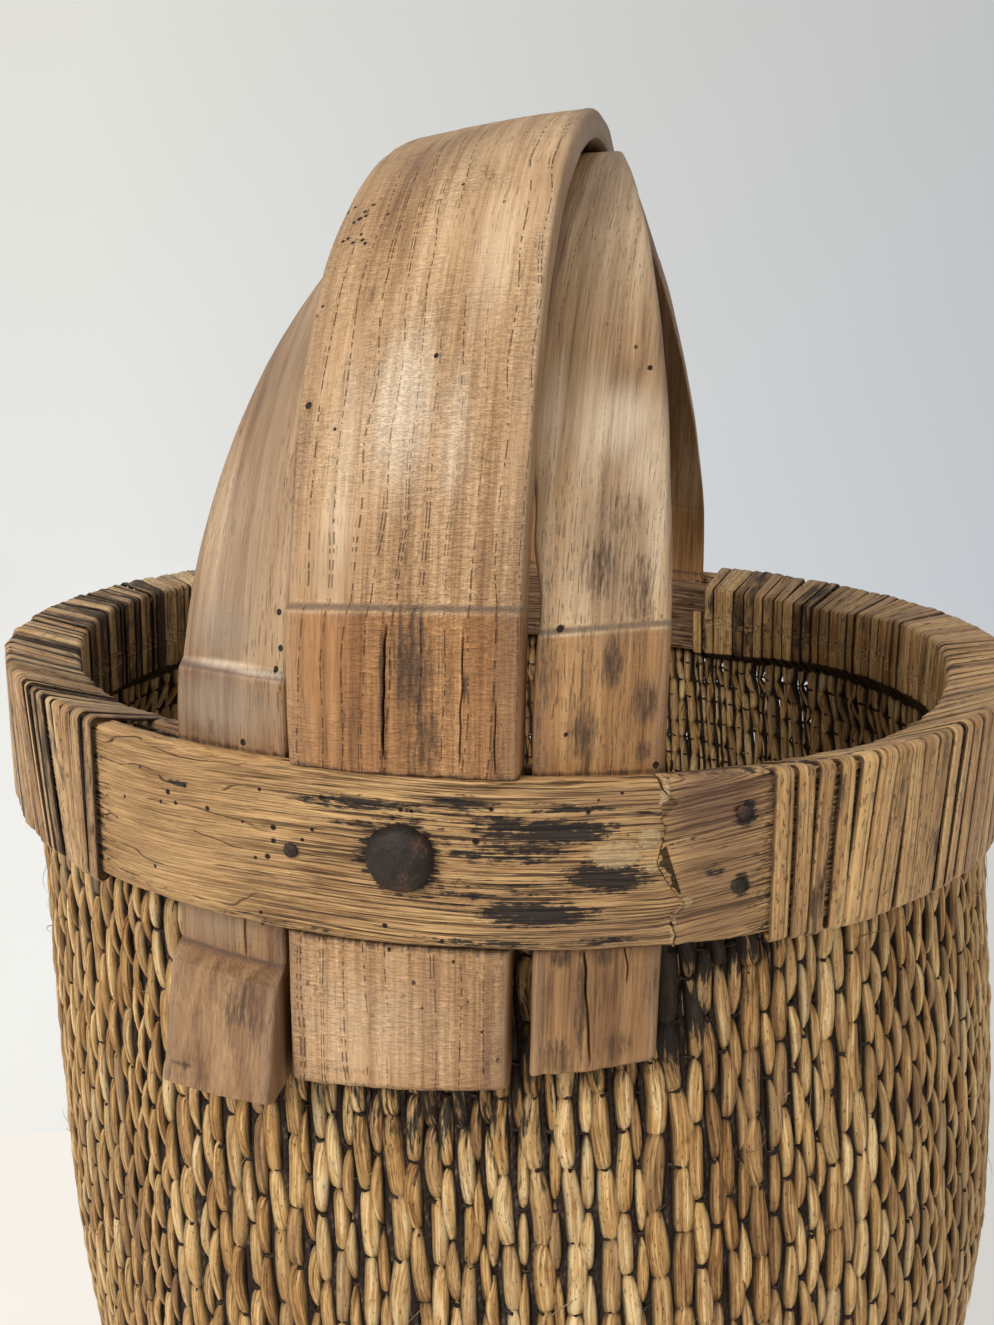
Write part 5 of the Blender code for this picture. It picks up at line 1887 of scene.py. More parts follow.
@dataclass
class Handle:
    """Three bent straps: the widest in the middle and on top, one each side tucked under it at the crown."""

    centre_left: tuple[float, float, float] = (-31.5 * MM, -34 * MM, -28 * MM)
    centre_right: tuple[float, float, float] = (33.2 * MM, 32.5 * MM, 35 * MM)
    right_inner: tuple[float, float] = (36 * MM, 0.4 * MM)
    right_outer: tuple[float, float] = (72 * MM, 41.5 * MM)
    right_splay: float = 12 * MM
    left_inner: tuple[float, float] = (34 * MM, 0.4 * MM)
    left_outer: tuple[float, float] = (72.5 * MM, 36 * MM)
    foot_shifts: tuple[float, float, float] = (-1.8 * MM, 1.8 * MM, 2.5 * MM)
    backs: tuple[float, float] = (13.4 * MM, 4.9 * MM)
    ledge: float = 2.5 * MM
    arch_steps: int = 14

    @staticmethod
    def _foot(place: Array, shift: float) -> Array:
        """Sideways shift, which builds up behind the band."""
        return shift * np.clip(-place / RIM.outer_height, 0, 1)

    def _centre_edges(self, place: Array, behind: Array) -> tuple[Array, Array]:
        """Edges of the centre strap.

        Args:
            place: Places along the strap.
            behind: Whether they are on the back half, which changes nothing here.

        Returns:
            Low and high x.
        """
        share = np.clip(place, 0, 1)
        first, second = eased(share * 2), eased(share * 2 - 1)
        shift = self._foot(place, self.foot_shifts[0])
        low, high = (shift + rim + (middle - rim) * first + (crown - middle) * second
                     for rim, middle, crown in (self.centre_left, self.centre_right))
        return low, high

    def _side_edges(self, inner: tuple[float, float], outer: tuple[float, float], splay: float,
                    shift: float) -> Callable[[Array, Array], tuple[Array, Array]]:
        """Edges of a side strap, which close in under the centre one.

        Args:
            inner: The inner edge's x at the rim and at the crown.
            outer: The outer edge's x at the rim and at the crown.
            splay: How much further out its back foot stands.
            shift: Sideways shift of its feet below the band.

        Returns:
            A function of places and halves that gives low and high x.
        """
        def edges(place: Array, behind: Array) -> tuple[Array, Array]:
            """Low and high x at places; the front edge of a splayed strap laps under the centre one.

            Args:
                place: Places along the strap.
                behind: Whether they are on the back half.

            Returns:
                Low and high x.
            """
            share = np.clip(place, 0, 1)
            away = np.where(behind, splay, 0.0) + self._foot(place, shift)
            start_in, start_out = inner[0] + away, outer[0] + away
            closing = eased(np.where(behind & (splay > 0), share, share ** 1.25))
            low = start_in + (inner[1] - start_in) * eased((share - 0.26) / 0.74)
            lap = 2.6 * MM * eased((share - 0.155) / 0.07) + 4.0 * MM * eased((share - 0.24) / 0.1)
            low = low - np.where(behind | (splay == 0), 0.0, lap * (1 - eased((share - 0.4) / 0.5)))
            return low, start_out + (outer[1] - start_out) * closing
        return edges

    def _arch_stations(self, arch: Arch, shoulder: float, thick: float,
                       start_back: float) -> list[tuple[float, float, float]]:
        """Stations above a block, from its sloping ledge to the crown.

        Args:
            arch: Arch of the strap's edge.
            shoulder: Height of the block's top.
            thick: Depth of the strap's back at the crown.
            start_back: Depth of its back over the block.

        Returns:
            The stations.
        """
        first = arch.place_at(shoulder + self.ledge)
        stations = []
        for index in range(self.arch_steps + 1):
            share = index / self.arch_steps
            settle = smoothstep(share * 4)
            stations.append((first + (1 - first) * share, 0.0, start_back + (thick - start_back) * settle))
        return stations

    def centre(self, finish: Material) -> Object:
        """The widest strap, on top.

        Args:
            finish: Its material.

        Returns:
            The strap.
        """
        back, shoulder = self.backs[0], 46 * MM
        left, right = Arch(198.5 * MM, 194 * MM, 2.25), Arch(198.5 * MM, 204 * MM, 2.25)
        level = right.place_at(shoulder)
        stations = [
            (-96.5 * MM, -1 * MM, back - 1 * MM), (-94 * MM, 0.6 * MM, back), (-50 * MM, 1 * MM, back),
            (0.0, 1 * MM, back), (level * 0.55, 2 * MM, back - 0.6 * MM),
            (level * 0.97, 2.8 * MM, back - 1.4 * MM), (level, 2.4 * MM, back - 1.6 * MM),
        ] + self._arch_stations(right, shoulder, 10.5 * MM, back - 2 * MM)
        strap = Strap(
            "centre_strap", "handle_centre_strap", left, right, False, self._centre_edges, stations,
            (5 * MM, 0.0), shoulder, seed=1.0,
            splits=(Split(-3.3, 3, 45, 0.45, 2.2, 0.8), Split(18.9, 2, 44, 0.35, 1.6, 0.5),
                    Split(28.6, 1, 24, 0.3, 1.2)),
            marks=(
                marks_of(
                    Channel.STAIN, (4, 32, 7, 20, 0.86), (7.5, 11, 8, 12, 0.66), (13.5, 30, 3, 18, 0.46),
                    (2.2, -66, 0.8, 0.8, 1), (7.4, -69.5, 0.9, 0.9, 1), (-7, -73, 0.6, 0.7, 1),
                    (-27, -66, 0.6, 0.8, 1), (-16, -89, 17, 0.6, 0.8), (27, -84, 5, 6, 0.45),
                    (-3.6, 24, 0.8, 26, 0.95), (18.9, 24, 0.7, 24, 0.9), (28.5, 12, 0.6, 13, 0.8),
                    (-12.5, 16, 4.5, 4, 0.55), (27, 14, 3, 16, 0.35), (0, -94, 34, 1.2, 0.5),
                    (-22, 35, 3, 12, 0.25), (20, 58, 8, 10, 0.25), (4, 62, 8, 13, 0.42), (27, 62, 5, 16, 0.38),
                    (19, 92, 3.5, 14, 0.45), (-16.5, 142, 1.6, 6, 0.55), (3, 130, 3, 10, 0.4),
                    (-29, 94, 5, 2.2, 0.55), (-30, 84, 3, 8, 0.35), (0, 250, 40, 60, 0.2), (24, -58, 8, 5, 0.3))
                + marks_of(
                    Channel.TINT, (0, 270, 30, 70, 0.28), (32, 320, 6, 110, 0.95), (-18, 300, 6, 60, 0.35),
                    (-22, 60, 10, 12, 0.3))
                + marks_of(
                    Channel.WEAR_AND_SHEEN, (-3, 104, 9, 24, 1), (12, 96, 4, 20, 0.7), (-18, 92, 4, 30, 0.45),
                    (16, 150, 6, 30, 0.35), (-5, -75, 24, 14, 0.2))
            ))
        return strap.build(finish)

    def right(self, finish: Material) -> Object:
        """The strap on the right, which stands further out at the back.

        Args:
            finish: Its material.

        Returns:
            The strap.
        """
        back, shoulder = self.backs[1], 40 * MM
        inner, outer = Arch(190 * MM, 187.6 * MM, 2.05), Arch(178 * MM, 192.8 * MM, 1.65)
        level = outer.place_at(shoulder)
        stations = [
            (-90 * MM, 3 * MM, back - 0.5 * MM), (-88 * MM, 4.5 * MM, back), (-52 * MM, 3 * MM, back),
            (-49 * MM, 0.5 * MM, back), (0.0, 1.4 * MM, back), (level * 0.97, 2.6 * MM, back + 0.6 * MM),
            (level, 2.2 * MM, back + 0.6 * MM),
        ] + self._arch_stations(outer, shoulder, 9 * MM, back + 1 * MM)
        edges = self._side_edges(self.right_inner, self.right_outer, self.right_splay, self.foot_shifts[1])
        strap = Strap(
            "right_strap", "handle_right_strap", inner, outer, True, edges, stations, (3 * MM, 0.0), shoulder,
            seed=4.0, low_foot=0.8,
            splits=(Split(51.6, -88, -50, 0.5, 2.2, -3.6), Split(63.3, -64, -48, 0.35, 1.4, -1.4)),
            marks=(
                marks_of(
                    Channel.STAIN, (56, 31, 3.5, 9, 0.78), (50, 12, 6, 12, 0.7), (66, 20, 4.5, 9, 0.85),
                    (65.5, 6, 3, 4, 0.8), (40, 30, 3, 14, 0.55), (60, 12, 5, 12, 0.4), (48.5, 30, 0.8, 12, 0.75),
                    (51, 60, 7, 12, 0.62), (62, 52, 5, 12, 0.66), (65, 45, 3, 8, 0.5), (55, 74, 9, 9, 0.46),
                    (44, 86, 5, 14, 0.32), (38, 62, 3, 26, 0.36), (58, 145, 4, 16, 0.22), (46, -54, 4, 4, 0.85),
                    (58, -54, 5, 4, 0.7), (52, -66, 2.2, 22, 1), (57, -66, 4, 10, 0.5), (43, -62, 3, 8, 0.6),
                    (46, -84, 6, 7, 0.8), (62, -82, 7, 6, 0.68), (71, -66, 3, 18, 0.5), (66, -56, 4, 8, 0.45))
                + marks_of(
                    Channel.TINT, (55, 64, 13, 26, 0.55))
                + marks_of(
                    Channel.WEAR_AND_SHEEN, (50, 190, 16, 50, 0.28), (54, 103, 12, 12, 1), (62, 92, 6, 14, 0.8),
                    (46, 104, 5, 20, 0.7), (36, 108, 3, 18, 0.6), (66, 70, 3, 20, 0.5))
            ))
        return strap.build(finish)

    def left(self, finish: Material) -> Object:
        """The strap on the left, whose foot stands out below the band.

        Args:
            finish: Its material.

        Returns:
            The strap.
        """
        back, shoulder = self.backs[1], 21 * MM
        inner, outer = Arch(190 * MM, 186 * MM, 2.05), Arch(178 * MM, 176 * MM, 1.65)
        level = outer.place_at(shoulder)
        stations = [
            (-104 * MM, 15 * MM, back - 0.5 * MM), (-101 * MM, 18 * MM, back), (-68.5 * MM, 7.5 * MM, back),
            (-66 * MM, 0.2 * MM, back), (-49 * MM, 0.2 * MM, back), (0.0, 1.4 * MM, back),
            (level * 0.97, 2.6 * MM, back + 0.6 * MM), (level, 2.2 * MM, back + 0.6 * MM),
        ] + self._arch_stations(outer, shoulder, 9 * MM, back + 1 * MM)
        edges = self._side_edges(self.left_inner, self.left_outer, 0.0, self.foot_shifts[2])
        strap = Strap(
            "left_strap", "handle_left_strap", inner, outer, True, edges, stations, (0.0, 4 * MM), shoulder,
            side=Side.LEFT, seed=7.0, low_ledge=-65.9 * MM, low_foot=0.7,
            splits=(Split(-46.9, -66, -50, 0.4, 1.5),),
            marks=(
                marks_of(
                    Channel.STAIN, (-60, 31, 8, 5, 0.42), (-47, 29, 5, 4, 0.35), (-60, 5, 8, 5, 0.5),
                    (-67, 10, 4, 10, 0.35), (-40, 70, 4, 45, 0.25), (-38, -57, 5, 9, 0.5), (-60, -74, 3, 7, 0.5),
                    (-50, -77, 6, 11, 0.72), (-43, -80, 4, 14, 0.55), (-51.5, -74, 0.7, 9, 0.9),
                    (-47, -76, 0.6, 11, 0.9), (-43.5, -73, 0.6, 7, 0.8), (-67.5, -95, 5.5, 1.2, 0.9),
                    (-72.6, -99, 0.9, 5, 0.7), (-67, -93, 6, 3, 0.5))
                + marks_of(
                    Channel.TINT, (-55, 12, 20, 10, 0.85), (-57, 34, 12, 9, 0.9), (-50, 90, 10, 70, 0.4),
                    (-60, -57, 12, 8, 0.5))
                + marks_of(
                    Channel.WEAR_AND_SHEEN, (-56, 23.5, 12, 1.3, 1), (-44, 22.5, 10, 0.8, 0.9), (-62, 60, 6, 26, 0.3))
            ))
        return strap.build(finish)


# Cane winding


@dataclass
class Winding:
    """Split cane wound round the rim on one side, in three lengths.

    Args:
        side: Side of the basket.
        turns: Turns in each length.
        seed: Picks the unevenness.
        tone: Lightness of its strips.
        soil: How dark some of its strips are.
        gaps: Front turns with a wide gap beside them.
    """

    side: Side
    turns: int
    seed: int
    tone: float
    soil: float
    start: float = math.radians(29.4)
    end: float = math.radians(29.4)
    ragged: float = 1.0
    lean: float = 0.0
    lengths: tuple[str, ...] = ("front", "middle", "back")
    thick: float = 1.3 * MM
    stand_off: float = 1.0 * MM
    top: float = 3.6 * MM
    bottom: float = -52 * MM
    chamfer: float = 0.9 * MM
    low_chamfer: float = 1.2 * MM
    join: float = -18 * MM
    overhang: float = 0.9
    filled: float = 0.9
    gaps: tuple[int, ...] = ()

    def _loop(self) -> tuple[Array, Array]:
        """One turn's route, its corners rounded, as (layer, shift, z), and its shares of the turn.

        Returns:
            The route's points and their shares.
        """
        off = self.stand_off
        inset = self.chamfer - off * 0.5
        high, low = self.top - self.chamfer, self.bottom + self.low_chamfer
        corners = np.array([
            (1, -off, self.join), (1, -off, high), (1, inset, self.top), (0, -inset, self.top), (0, off, high),
            (0, off, low), (0, -inset, self.bottom), (1, inset, self.bottom), (1, -off, low), (1, -off, self.join),
        ], float)
        gap = 24 * MM
        flat = np.stack([corners[:, 0] * -gap + corners[:, 1], corners[:, 2]], axis=1)
        points = []
        for number in range(len(corners) - 1):
            first, second = corners[number], corners[number + 1]
            run = float(np.linalg.norm(flat[number + 1] - flat[number]))
            near = min(0.4 * MM / run, 0.3)
            count = max(1, int(run / (9 * MM)))
            points += [first + (second - first) * share for share in np.linspace(near, 1 - near, count + 1)]
        route = np.array([corners[0], *points[1:-1], corners[-1]])
        flat = np.stack([route[:, 0] * -gap + route[:, 1], route[:, 2]], axis=1)
        ways = lengths_along(flat)
        return route, ways / ways[-1]

    def wind(self, finish: Material) -> list[Object]:
        """Wind the three lengths.

        Args:
            finish: The cane's material.

        Returns:
            One piece for each length.
        """
        draw = np.random.default_rng(self.seed)
        span = math.pi - self.start - self.end
        pitch = span / (self.turns * len(self.lengths) + self.overhang)
        route, shares = self._loop()
        per_turn = len(route) - 1
        rings = self.turns * per_turn + 1
        profile = [(-1.0, 0.25), (-0.95, 0.7), (-0.72, 0.93), (-0.3, 1.0), (0.3, 1.0), (0.72, 0.93), (0.95, 0.7),
                   (1.0, 0.25), (0.8, 0.0), (0.0, 0.0), (-0.8, 0.0)]
        across, lift = np.array(profile).T
        tube = Tube(rings, len(profile))
        inner_half = tuple(size - INNER_THICK for size in RIM.inner_half)
        pieces = []
        for number, word in enumerate(self.lengths):
            begin = self.start + pitch * (self.overhang / 2 + self.turns * number)
            index = np.arange(rings)
            turn = np.minimum(index // per_turn, self.turns - 1)
            step = index - turn * per_turn
            layer, shift, z = route[step, 0], route[step, 1], route[step, 2]
            wound = turn + shares[step]
            angle = begin + pitch * wound
            key = np.arange(self.turns + 1)

            def over_turns(values: Array) -> Array:
                """Blend along the strip between values at the turns' ends."""
                return np.interp(wound, key, values)

            nudge = draw.normal(0, 0.06 * self.ragged, self.turns + 1)
            nudge[0] = nudge[-1] = 0.0
            outside = np.sin(shares[step] * math.tau - math.pi / 2) * 0.5 + 0.5
            angle = angle + pitch * over_turns(nudge)
            angle = angle + pitch * draw.normal(0, 0.08 * self.ragged, self.turns)[turn] * outside ** 2
            slant = draw.normal(0, 0.1 * self.ragged, self.turns)[turn]
            fall = (1 - layer) * (self.top + self.bottom - 2 * z) / (self.top - self.bottom)
            blend = math.radians(14)
            inward = eased((angle - self.start) / blend) * eased((math.pi - self.end - angle) / blend)
            angle = angle + fall * (pitch * slant + self.lean / RIM.outer_half[1]) * inward
            width = self.filled + 0.1 * self.ragged * draw.standard_normal(self.turns + 1)
            for open_turn in self.gaps if number == 0 else ():
                width[open_turn] = 0.5
            width = over_turns(np.clip(width, 0.62, 1.06))
            raised = over_turns(draw.uniform(-0.85 * self.ragged, 0.0, self.turns + 1)) * MM
            half_x, half_y = (far + (near - far) * layer for far, near in zip(RIM.outer_half, inner_half))
            side = self.side.value
            degrees = np.degrees(angle) * side
            upper = eased((z - self.top + 16 * MM) / (16 * MM))
            rise = (RimWear.at(RimWear.OUTER_EDGE, degrees) * (1 - layer)
                    + RimWear.at(RimWear.INNER_EDGE, degrees) * layer - self.top - 1.1 * MM)
            lower = layer * eased((self.join - z) / (self.join - self.bottom))
            z = z + upper * rise + lower * (RimWear.at(RimWear.LOWER_EDGE, degrees) - self.bottom + 1.2 * MM)

            def spots(turn_by: Array, more: Array) -> Array:
                """Route points turned round the rim and moved outwards."""
                return np.stack([side * (half_x + more) * np.sin(turn_by), -(half_y + more) * np.cos(turn_by),
                                 z], axis=-1) + np.array(RIM.centre)

            middle = spots(angle, shift)
            run = unit_runs(middle)
            sweep = spots(angle + 0.001, shift) - middle
            sweep /= np.linalg.norm(sweep, axis=1)[:, None]
            sweep -= run * (sweep * run).sum(axis=1)[:, None]
            sweep /= np.linalg.norm(sweep, axis=1)[:, None]
            away = np.cross(run, sweep)
            centre_line = np.stack([np.sin(angle) * side, -np.cos(angle), angle * 0], axis=1)
            core = RIM.outer_half[0] + (inner_half[0] - RIM.outer_half[0]) * 0.5
            toward = middle - (np.array(RIM.centre) + centre_line * core + np.array([0, 0, -24 * MM]))
            away *= np.sign((away * toward).sum(axis=1))[:, None]
            reach = pitch * np.hypot(half_x * np.cos(angle), half_y * np.sin(angle)) / 2
            flare = reach * width * 1.02
            thickness = self.thick * (0.9 + 0.1 * width)
            offset = np.clip(lift[None] * thickness[:, None] + raised[:, None], -0.9 * MM, self.thick - 0.05 * MM)
            tilt = over_turns(draw.normal(0, 0.28 * self.ragged, self.turns + 1)) * MM
            offset = np.minimum(offset + tilt[:, None] * across[None], self.thick - 0.03 * MM)
            points = (middle[:, None] + sweep[:, None] * (flare[:, None] * across[None])[..., None]
                      + away[:, None] * offset[..., None])
            tones = over_turns(draw.random(self.turns + 1))
            soil = over_turns(np.clip(draw.normal(self.soil, 0.25 * self.ragged, self.turns + 1), 0, 1))
            # Painted shade: the strips are made darkest along the underside of each turn, on the inner side.
            under = (route[step, 2] < self.bottom + self.low_chamfer * 1.1) & (layer > 0.02)
            soil = np.where(under, 1.3, soil)
            lay = triples(flare[:, None] * across[None], lengths_along(middle)[:, None],
                          (turn * 0.37 + number)[:, None])
            kind = triples((self.tone + 0.5 * tones)[:, None], soil[:, None] * 0.8, np.abs(across)[None] ** 3)
            piece = tube.along(f"{self.side.name.lower()}_cane_{word}_winding", points, lay=lay, kind=kind)
            node = f"{self.side.name.lower()}_cane_{word}"
            pieces.append(dressed(piece, finish, [node], 34))
        tube.put_away()
        return pieces


# Nails


@dataclass
class Nails:
    """Forged dome nails and small nails of the two bare stretches."""

    dome: tuple[float, float, float] = (10.3 * MM, 5.2 * MM, 2.2 * MM)
    small: tuple[float, float, float] = (2.4 * MM, 1.0 * MM, 1.0 * MM)
    places: tuple[tuple[str, bool, float, float, float], ...] = (
        ("dome", True, 13.5 * MM, 0.4, -23 * MM),
        ("small", False, 12.5 * MM, -8.73, -24.8 * MM),
        ("upper_end", False, 7.0 * MM, 27.6, -10.7 * MM),
        ("lower_end", False, 7.0 * MM, 27.6, -32.9 * MM),
    )

    def _forged(self, sizes: tuple[float, float, float], shank: float, seed: float,
                segments: int) -> Object:
        """A nail standing on the origin, hammered out of a ball.

        Args:
            sizes: The head's radius and height, and the shank's radius.
            shank: Length of the shank.
            seed: Picks the dents.
            segments: Number of corners round the ball.

        Returns:
            The nail.
        """
        radius, height, thin = sizes
        bpy.ops.object.select_all(action="DESELECT")
        bpy.ops.mesh.primitive_uv_sphere_add(segments=segments, ring_count=segments // 2, radius=1)
        obj = bpy.context.object
        for corner in obj.data.vertices:
            x, y, z = corner.co
            flat = math.hypot(x, y)
            round_ = math.atan2(y, x)
            wobble = 1 + 0.07 * ripple(math.cos(round_) * 1.6, math.sin(round_) * 1.6, seed) * 2
            if z >= 0:
                rise = height * (1 - (1 - z) ** 1.25)
                reach = radius * flat ** 0.94 * wobble * 0.95
                dent = ripple(reach * math.cos(round_) / (radius * 0.34), reach * math.sin(round_) / (radius * 0.34),
                              seed + 1)
                rise += dent * height * 0.16 * z ** 0.5 - abs(dent) * 0.02 * MM
                rise = min(rise, height)
            else:
                depth = -z
                reach = radius * wobble * 0.95 if depth < 0.12 else thin * (1 if depth < 0.9 else 0.6)
                if depth >= 0.12:
                    reach *= flat if depth > 0.98 else 1
                rise = 0.0 if depth < 0.35 else -shank * (depth - 0.35) / 0.65
            corner.co = (reach * math.cos(round_) if flat > 1e-6 else 0.0,
                         reach * math.sin(round_) if flat > 1e-6 else 0.0, rise)
        return obj

    def drive(self, finish: Material) -> list[Object]:
        """Make each kind once and drive copies into both bare stretches.

        Args:
            finish: The iron.

        Returns:
            All nails.
        """
        pieces = []
        for side, turn, way in (("front", 0.0, 1), ("back", math.pi, -1)):
            for number, (word, domed, shank, degrees, z) in enumerate(self.places):
                sizes = self.dome if domed else self.small
                nail = self._forged(sizes, shank, 3.0 + number + turn, 48 if domed else 16)
                angle = turn + (1 if word.endswith("end") else way) * math.radians(degrees)
                half = RIM.outer_half
                outward = Vector((math.sin(angle) / half[0], -math.cos(angle) / half[1], 0)).normalized()
                spot = RIM.at(half, angle, z, 0.25 * MM)
                nail.data.transform(Matrix.Translation(spot) @ outward.to_track_quat("Z", "Y").to_matrix().to_4x4())
                nail.name = f"{side}_{word}_head"
                pieces.append(dressed(nail, finish, [f"{side}_{word}_nail"], 35))
        return pieces


# Loose fibres


@dataclass
class Fibres:
    """Broken hairs that stand off the weave."""

    body: WovenBody
    count: int = 190
    seed: int = 21
    rings: int = 8

    def _hair(self, tube: Tube, start: Array, run: Array, out: Array, length: float,
              radius: float, draw: np.random.Generator) -> Object:
        """One hair that leaves the surface and curls.

        Args:
            tube: Straight hair.
            start: Where it leaves the surface.
            run: Its direction along the surface.
            out: The direction off the surface.
            length: Its length.
            radius: Its radius at the root.
            draw: Source of the unevenness.

        Returns:
            The hair.
        """
        share = np.linspace(0, 1, self.rings)[:, None]
        side = np.cross(run, out)
        curl = draw.normal(0, 0.35)
        lift = draw.uniform(0.8, 3.2) * MM
        line = (start + run * length * share + side * length * curl * share ** 2
                + out * lift * np.sin(share * math.pi * draw.uniform(0.5, 0.95)))
        around = ring_turns(3)
        thin = radius * (1 - 0.75 * share)
        points = ringed(line, side[None], out[None], thin, thin, around)
        least, most = (np.array(corner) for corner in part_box("woven_body"))
        points = np.clip(points, least + 0.1 * MM, most - 0.1 * MM)
        lay = triples(around[None], share * length, float(draw.random()))
        kind = triples(np.full((self.rings, 3), draw.uniform(0.55, 1.0)), draw.uniform(0, 0.6), 0.0)
        return tube.along("hair", points, lay=lay, kind=kind, soot=kind * 0)

    def scatter(self, finish: Material) -> Object:
        """Scatter the hairs over the wall, most of them just under the band.

        Args:
            finish: The hairs' material.

        Returns:
            All hairs as one piece.
        """
        draw = np.random.default_rng(self.seed)
        tube = Tube(self.rings, 3)
        hairs = []
        for _ in range(self.count):
            angle = draw.uniform(-math.pi, math.pi)
            depth = (55 + 330 * draw.random() ** 1.6) * MM
            way = np.array([depth])
            spot, out = self.body.surface(way, np.array([angle]), np.array([2.6 * MM]))
            below, _ = self.body.surface(way + 1 * MM, np.array([angle]), np.array([2.6 * MM]))
            down = (below - spot)[0]
            down /= np.linalg.norm(down)
            across = np.cross(out[0], down)
            lean = draw.uniform(-math.pi, math.pi)
            run = down * math.cos(lean) + across * math.sin(lean)
            hairs.append(self._hair(tube, spot[0], run, out[0], draw.uniform(5, 17) * MM,
                                    draw.uniform(0.12, 0.24) * MM, draw))
        tube.put_away()
        return dressed(joined("loose_fibres", hairs), finish, sharp=THIN_ROUND_SHARP)


# Stage


@dataclass
class Stage:
    """White floor, pale wall, soft lamps and the camera."""

    eye: tuple[float, float, float] = (75.0 * MM, -486.9 * MM, 105.4 * MM)
    right: Colour = (0.98569, 0.16764, 0.0179)
    up: Colour = (-0.05723, 0.23285, 0.97083)
    forward: Colour = (-0.15858, 0.95795, -0.23911)
    lens: float = 31.245
    sensor: float = 36.0
    reach: float = 14.0
    high_left: Colour = (0.74, 0.735, 0.68)
    high_right: Colour = (0.5, 0.505, 0.5)
    far_left: Colour = (0.82, 0.82, 0.8)
    far_right: Colour = (0.545, 0.58, 0.62)
    near_left: Colour = (0.87, 0.87, 0.84)
    near_right: Colour = (0.6, 0.585, 0.56)
    table_left: Colour = (0.905, 0.862, 0.806)
    floor_lit: tuple[float, float] = (0.58, 0.39)
    shadow_share: float = 0.35

    def camera(self) -> None:
        """Set the camera at the photograph's place."""
        data = bpy.data.cameras.new("camera")
        data.sensor_width = self.sensor
        data.lens = self.lens
        data.clip_start = 0.01
        obj = bpy.data.objects.new("camera", data)
        bpy.context.scene.collection.objects.link(obj)
        turn = Matrix((self.right, self.up, tuple(-part for part in self.forward))).transposed()
        obj.matrix_world = Matrix.Translation(RIM.centre + Vector(self.eye)) @ turn.to_4x4()
        bpy.context.scene.camera = obj

    def _seen(self, recipe: Recipe) -> Value:
        """1 where the camera sees a surface itself or in gloss or glass.

        Args:
            recipe: The surface's material.

        Returns:
            The value.
        """
        path = recipe.node("ShaderNodeLightPath").outputs
        camera, glossy, through = (Value(recipe, path[word]) for word in
                                   ("Is Camera Ray", "Is Glossy Ray", "Is Transmission Ray"))
        return camera.most(glossy).most(through)

    def _lit(self, recipe: Recipe, colour: Socket, body: Colour, share: float) -> None:
        """Show a stage surface at its written colour to the eye and let it light the basket as plain paint.

        Args:
            recipe: The surface's material.
            colour: What the eye sees.
            body: Its paint.
            share: How much of the paint's own light and shadow the eye sees.
        """
        paint = recipe.node("ShaderNodeBsdfDiffuse", None, {"Color": body})
        shown = recipe.node("ShaderNodeEmission", None, {"Color": colour, "Strength": 1.0})
        seen = self._seen(recipe) * (1.0 - share)
        mixed = recipe.node("ShaderNodeMixShader", None, {0: seen, 1: paint.outputs[0], 2: shown.outputs[0]})
        recipe.put(recipe.output.inputs["Surface"], mixed.outputs[0])

    def _sheet(self, name: str, place: Colour, tip: float) -> Object:
        """A large plane, tipped up by an angle.

        Args:
            name: Its name.
            place: Its middle.
            tip: The angle.

        Returns:
            The plane.
        """
        bpy.ops.object.select_all(action="DESELECT")
        bpy.ops.mesh.primitive_plane_add(size=self.reach, location=place, rotation=(tip, 0, 0))
        obj = bpy.context.object
        obj.name = name
        bpy.ops.object.transform_apply(location=True, rotation=True, scale=True)
        return obj

    def wall(self) -> None:
        """Pale grey wall behind, with painted light: lighter to the left and darker to the right."""
        obj = self._sheet("pale_wall", (0.0, 2.4, 3.0), math.pi / 2)
        recipe = Recipe("pale_wall")
        x, _, z = recipe.parts(recipe.place())
        # Painted light: lighter to the left, where the lamp falls, darker to the right.
        share = (x * 0.42 + 0.62).clamped()
        low = recipe.mix(share, self.far_left, self.far_right)
        high = recipe.mix(share, self.high_left, self.high_right)
        colour = recipe.mix((z * 0.55 + 0.1).clamped(), low, high)
        self._lit(recipe, colour, (0.6, 0.6, 0.6), 0.0)
        obj.data.materials.append(recipe.material)

    def floor(self) -> None:
        """White floor that keeps the basket's shadow, with a painted shadow that darkens it to the right."""
        obj = self._sheet("white_floor", (0.0, -2.0, 0.0), 0.0)
        recipe = Recipe("white_floor")
        x, y, _ = recipe.parts(recipe.place())
        # Painted shadow: the floor is darker to the right, where the basket's shadow falls.
        side = (x * (1.05 - y * 0.26) + (0.4 + y * 0.09)).clamped()
        near = recipe.mix(side, self.near_left, self.near_right)
        far = recipe.mix(side, self.far_left, self.far_right)
        table = (y - x * 0.35).between(0.2385, 0.2355)
        near = recipe.mix(table * x.between(-0.1, -0.16), near, self.table_left)
        colour = recipe.mix(y.between(0.1, 2.2), near, far)
        near_lit, far_lit = (tuple(level * self.shadow_share for _ in range(3)) for level in self.floor_lit)
        lit = recipe.mix((x * 1.25 + 0.55 + y * 1.1).clamped(), near_lit, far_lit)
        colour = recipe.mix(1.0, colour, lit, "SUBTRACT")
        gain = 1 / (1 - self.shadow_share)
        colour = recipe.stretched(colour, (gain, gain, gain))
        self._lit(recipe, colour, (0.82, 0.8, 0.78), self.shadow_share)
        obj.data.materials.append(recipe.material)

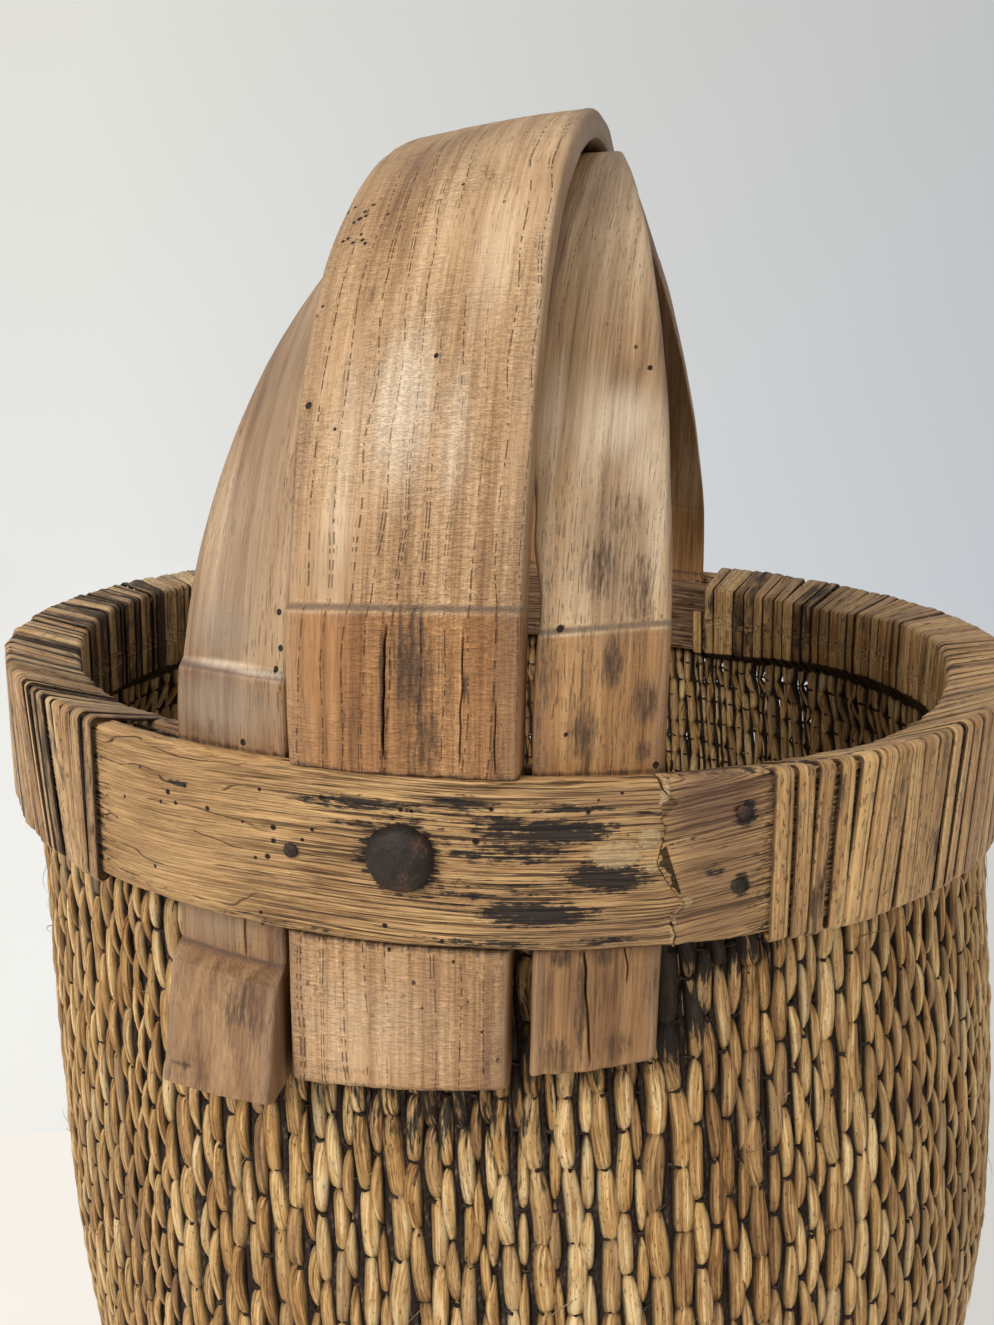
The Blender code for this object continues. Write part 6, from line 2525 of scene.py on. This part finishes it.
    @staticmethod
    def _lamp(name: str, place: Colour, target: Colour, size: float, power: float, colour: Colour) -> None:
        """One soft square lamp.

        Args:
            name: Its name.
            place: Where it stands.
            target: Where it points.
            size: Its width in metres.
            power: Its power in watts.
            colour: Colour of its light.
        """
        data = bpy.data.lights.new(name, "AREA")
        data.size = size
        data.energy = power
        data.color = colour
        obj = bpy.data.objects.new(name, data)
        bpy.context.scene.collection.objects.link(obj)
        away = Vector(place) - Vector(target)
        obj.matrix_world = Matrix.Translation(Vector(place)) @ away.to_track_quat("Z", "Y").to_matrix().to_4x4()

    def lamps(self) -> None:
        """A soft lamp from the upper left front and a weaker one from the right, under a pale sky."""
        middle = (0.0, 0.0, 0.3)
        self._lamp("window", (-1.15, -1.75, 1.75), middle, 1.1, 50.0, (1.0, 0.99, 0.97))
        self._lamp("fill", (1.6, -1.5, 1.6), middle, 1.4, 13.0, (1.0, 0.97, 0.93))
        world = bpy.data.worlds.new("pale_sky")
        world.use_nodes = True
        shader = world.node_tree.nodes["Background"]
        shader.inputs["Color"].default_value = (1.0, 0.985, 0.96, 1.0)
        shader.inputs["Strength"].default_value = 0.38
        bpy.context.scene.world = world


def main() -> None:
    """Build the basket's sub-assemblies in order, then the stage."""
    logging.basicConfig(level=logging.INFO, format="%(message)s")
    bpy.context.scene.view_settings.view_transform = "Standard"
    stage = Stage()
    stage.camera()
    willow = WillowFinish().make()
    cord = CordFinish().make()
    body = WovenBody()
    body.weave(willow)
    body.cords(cord)
    body.shade_fibres(cord)
    body.base_button(willow)
    Fibres(body).scatter(willow)
    band = BandFinish("weathered_band").make()
    bands = RimBands()
    bands.outer(band)
    bands.inner(band)
    handle = Handle()
    handle.centre(HandleFinish("centre_strap_wood", (0.67, 0.457, 0.262), (0.45, 0.265, 0.128),
                               (0.2, 0.098, 0.041), holes=CENTRE_WORMS).make())
    handle.right(HandleFinish("right_strap_wood", (0.66, 0.465, 0.275), (0.425, 0.26, 0.13), (0.16, 0.083, 0.04),
                              flecks=0.12, pores=0.22, scratches=0.7, foot_tint=(0.78, 0.65, 0.49), shift=4.0,
                              holes=RIGHT_WORMS).make())
    handle.left(HandleFinish("left_strap_wood", (0.51, 0.34, 0.192), (0.33, 0.197, 0.102), (0.14, 0.073, 0.037),
                             flecks=0.1, pores=0.12, scratches=0.7, foot_tint=(0.88, 0.8, 0.68), shift=7.0,
                             ledge=(0.13, 0.078, 0.062), holes=LEFT_WORMS).make())
    Winding(Side.RIGHT, 20, 31, 0.42, 0.08, end=math.radians(26.0), lean=-2 * MM, gaps=(3, 11)).wind(
        CaneFinish("pale_cane", (0.76, 0.49, 0.205), (0.4, 0.213, 0.082), (0.15, 0.066, 0.022)).make())
    Winding(Side.LEFT, 24, 32, 0.4, 0.3, ragged=1.5, lean=-7.5 * MM, filled=0.84).wind(
        CaneFinish("dark_cane", (0.88, 0.62, 0.31), (0.42, 0.232, 0.098), (0.1, 0.05, 0.022), shade_and_dirt=0.97).make())
    Nails().drive(IronFinish("forged_iron").make())
    stage.wall()
    stage.floor()
    stage.lamps()


if __name__ == "__main__":
    main()
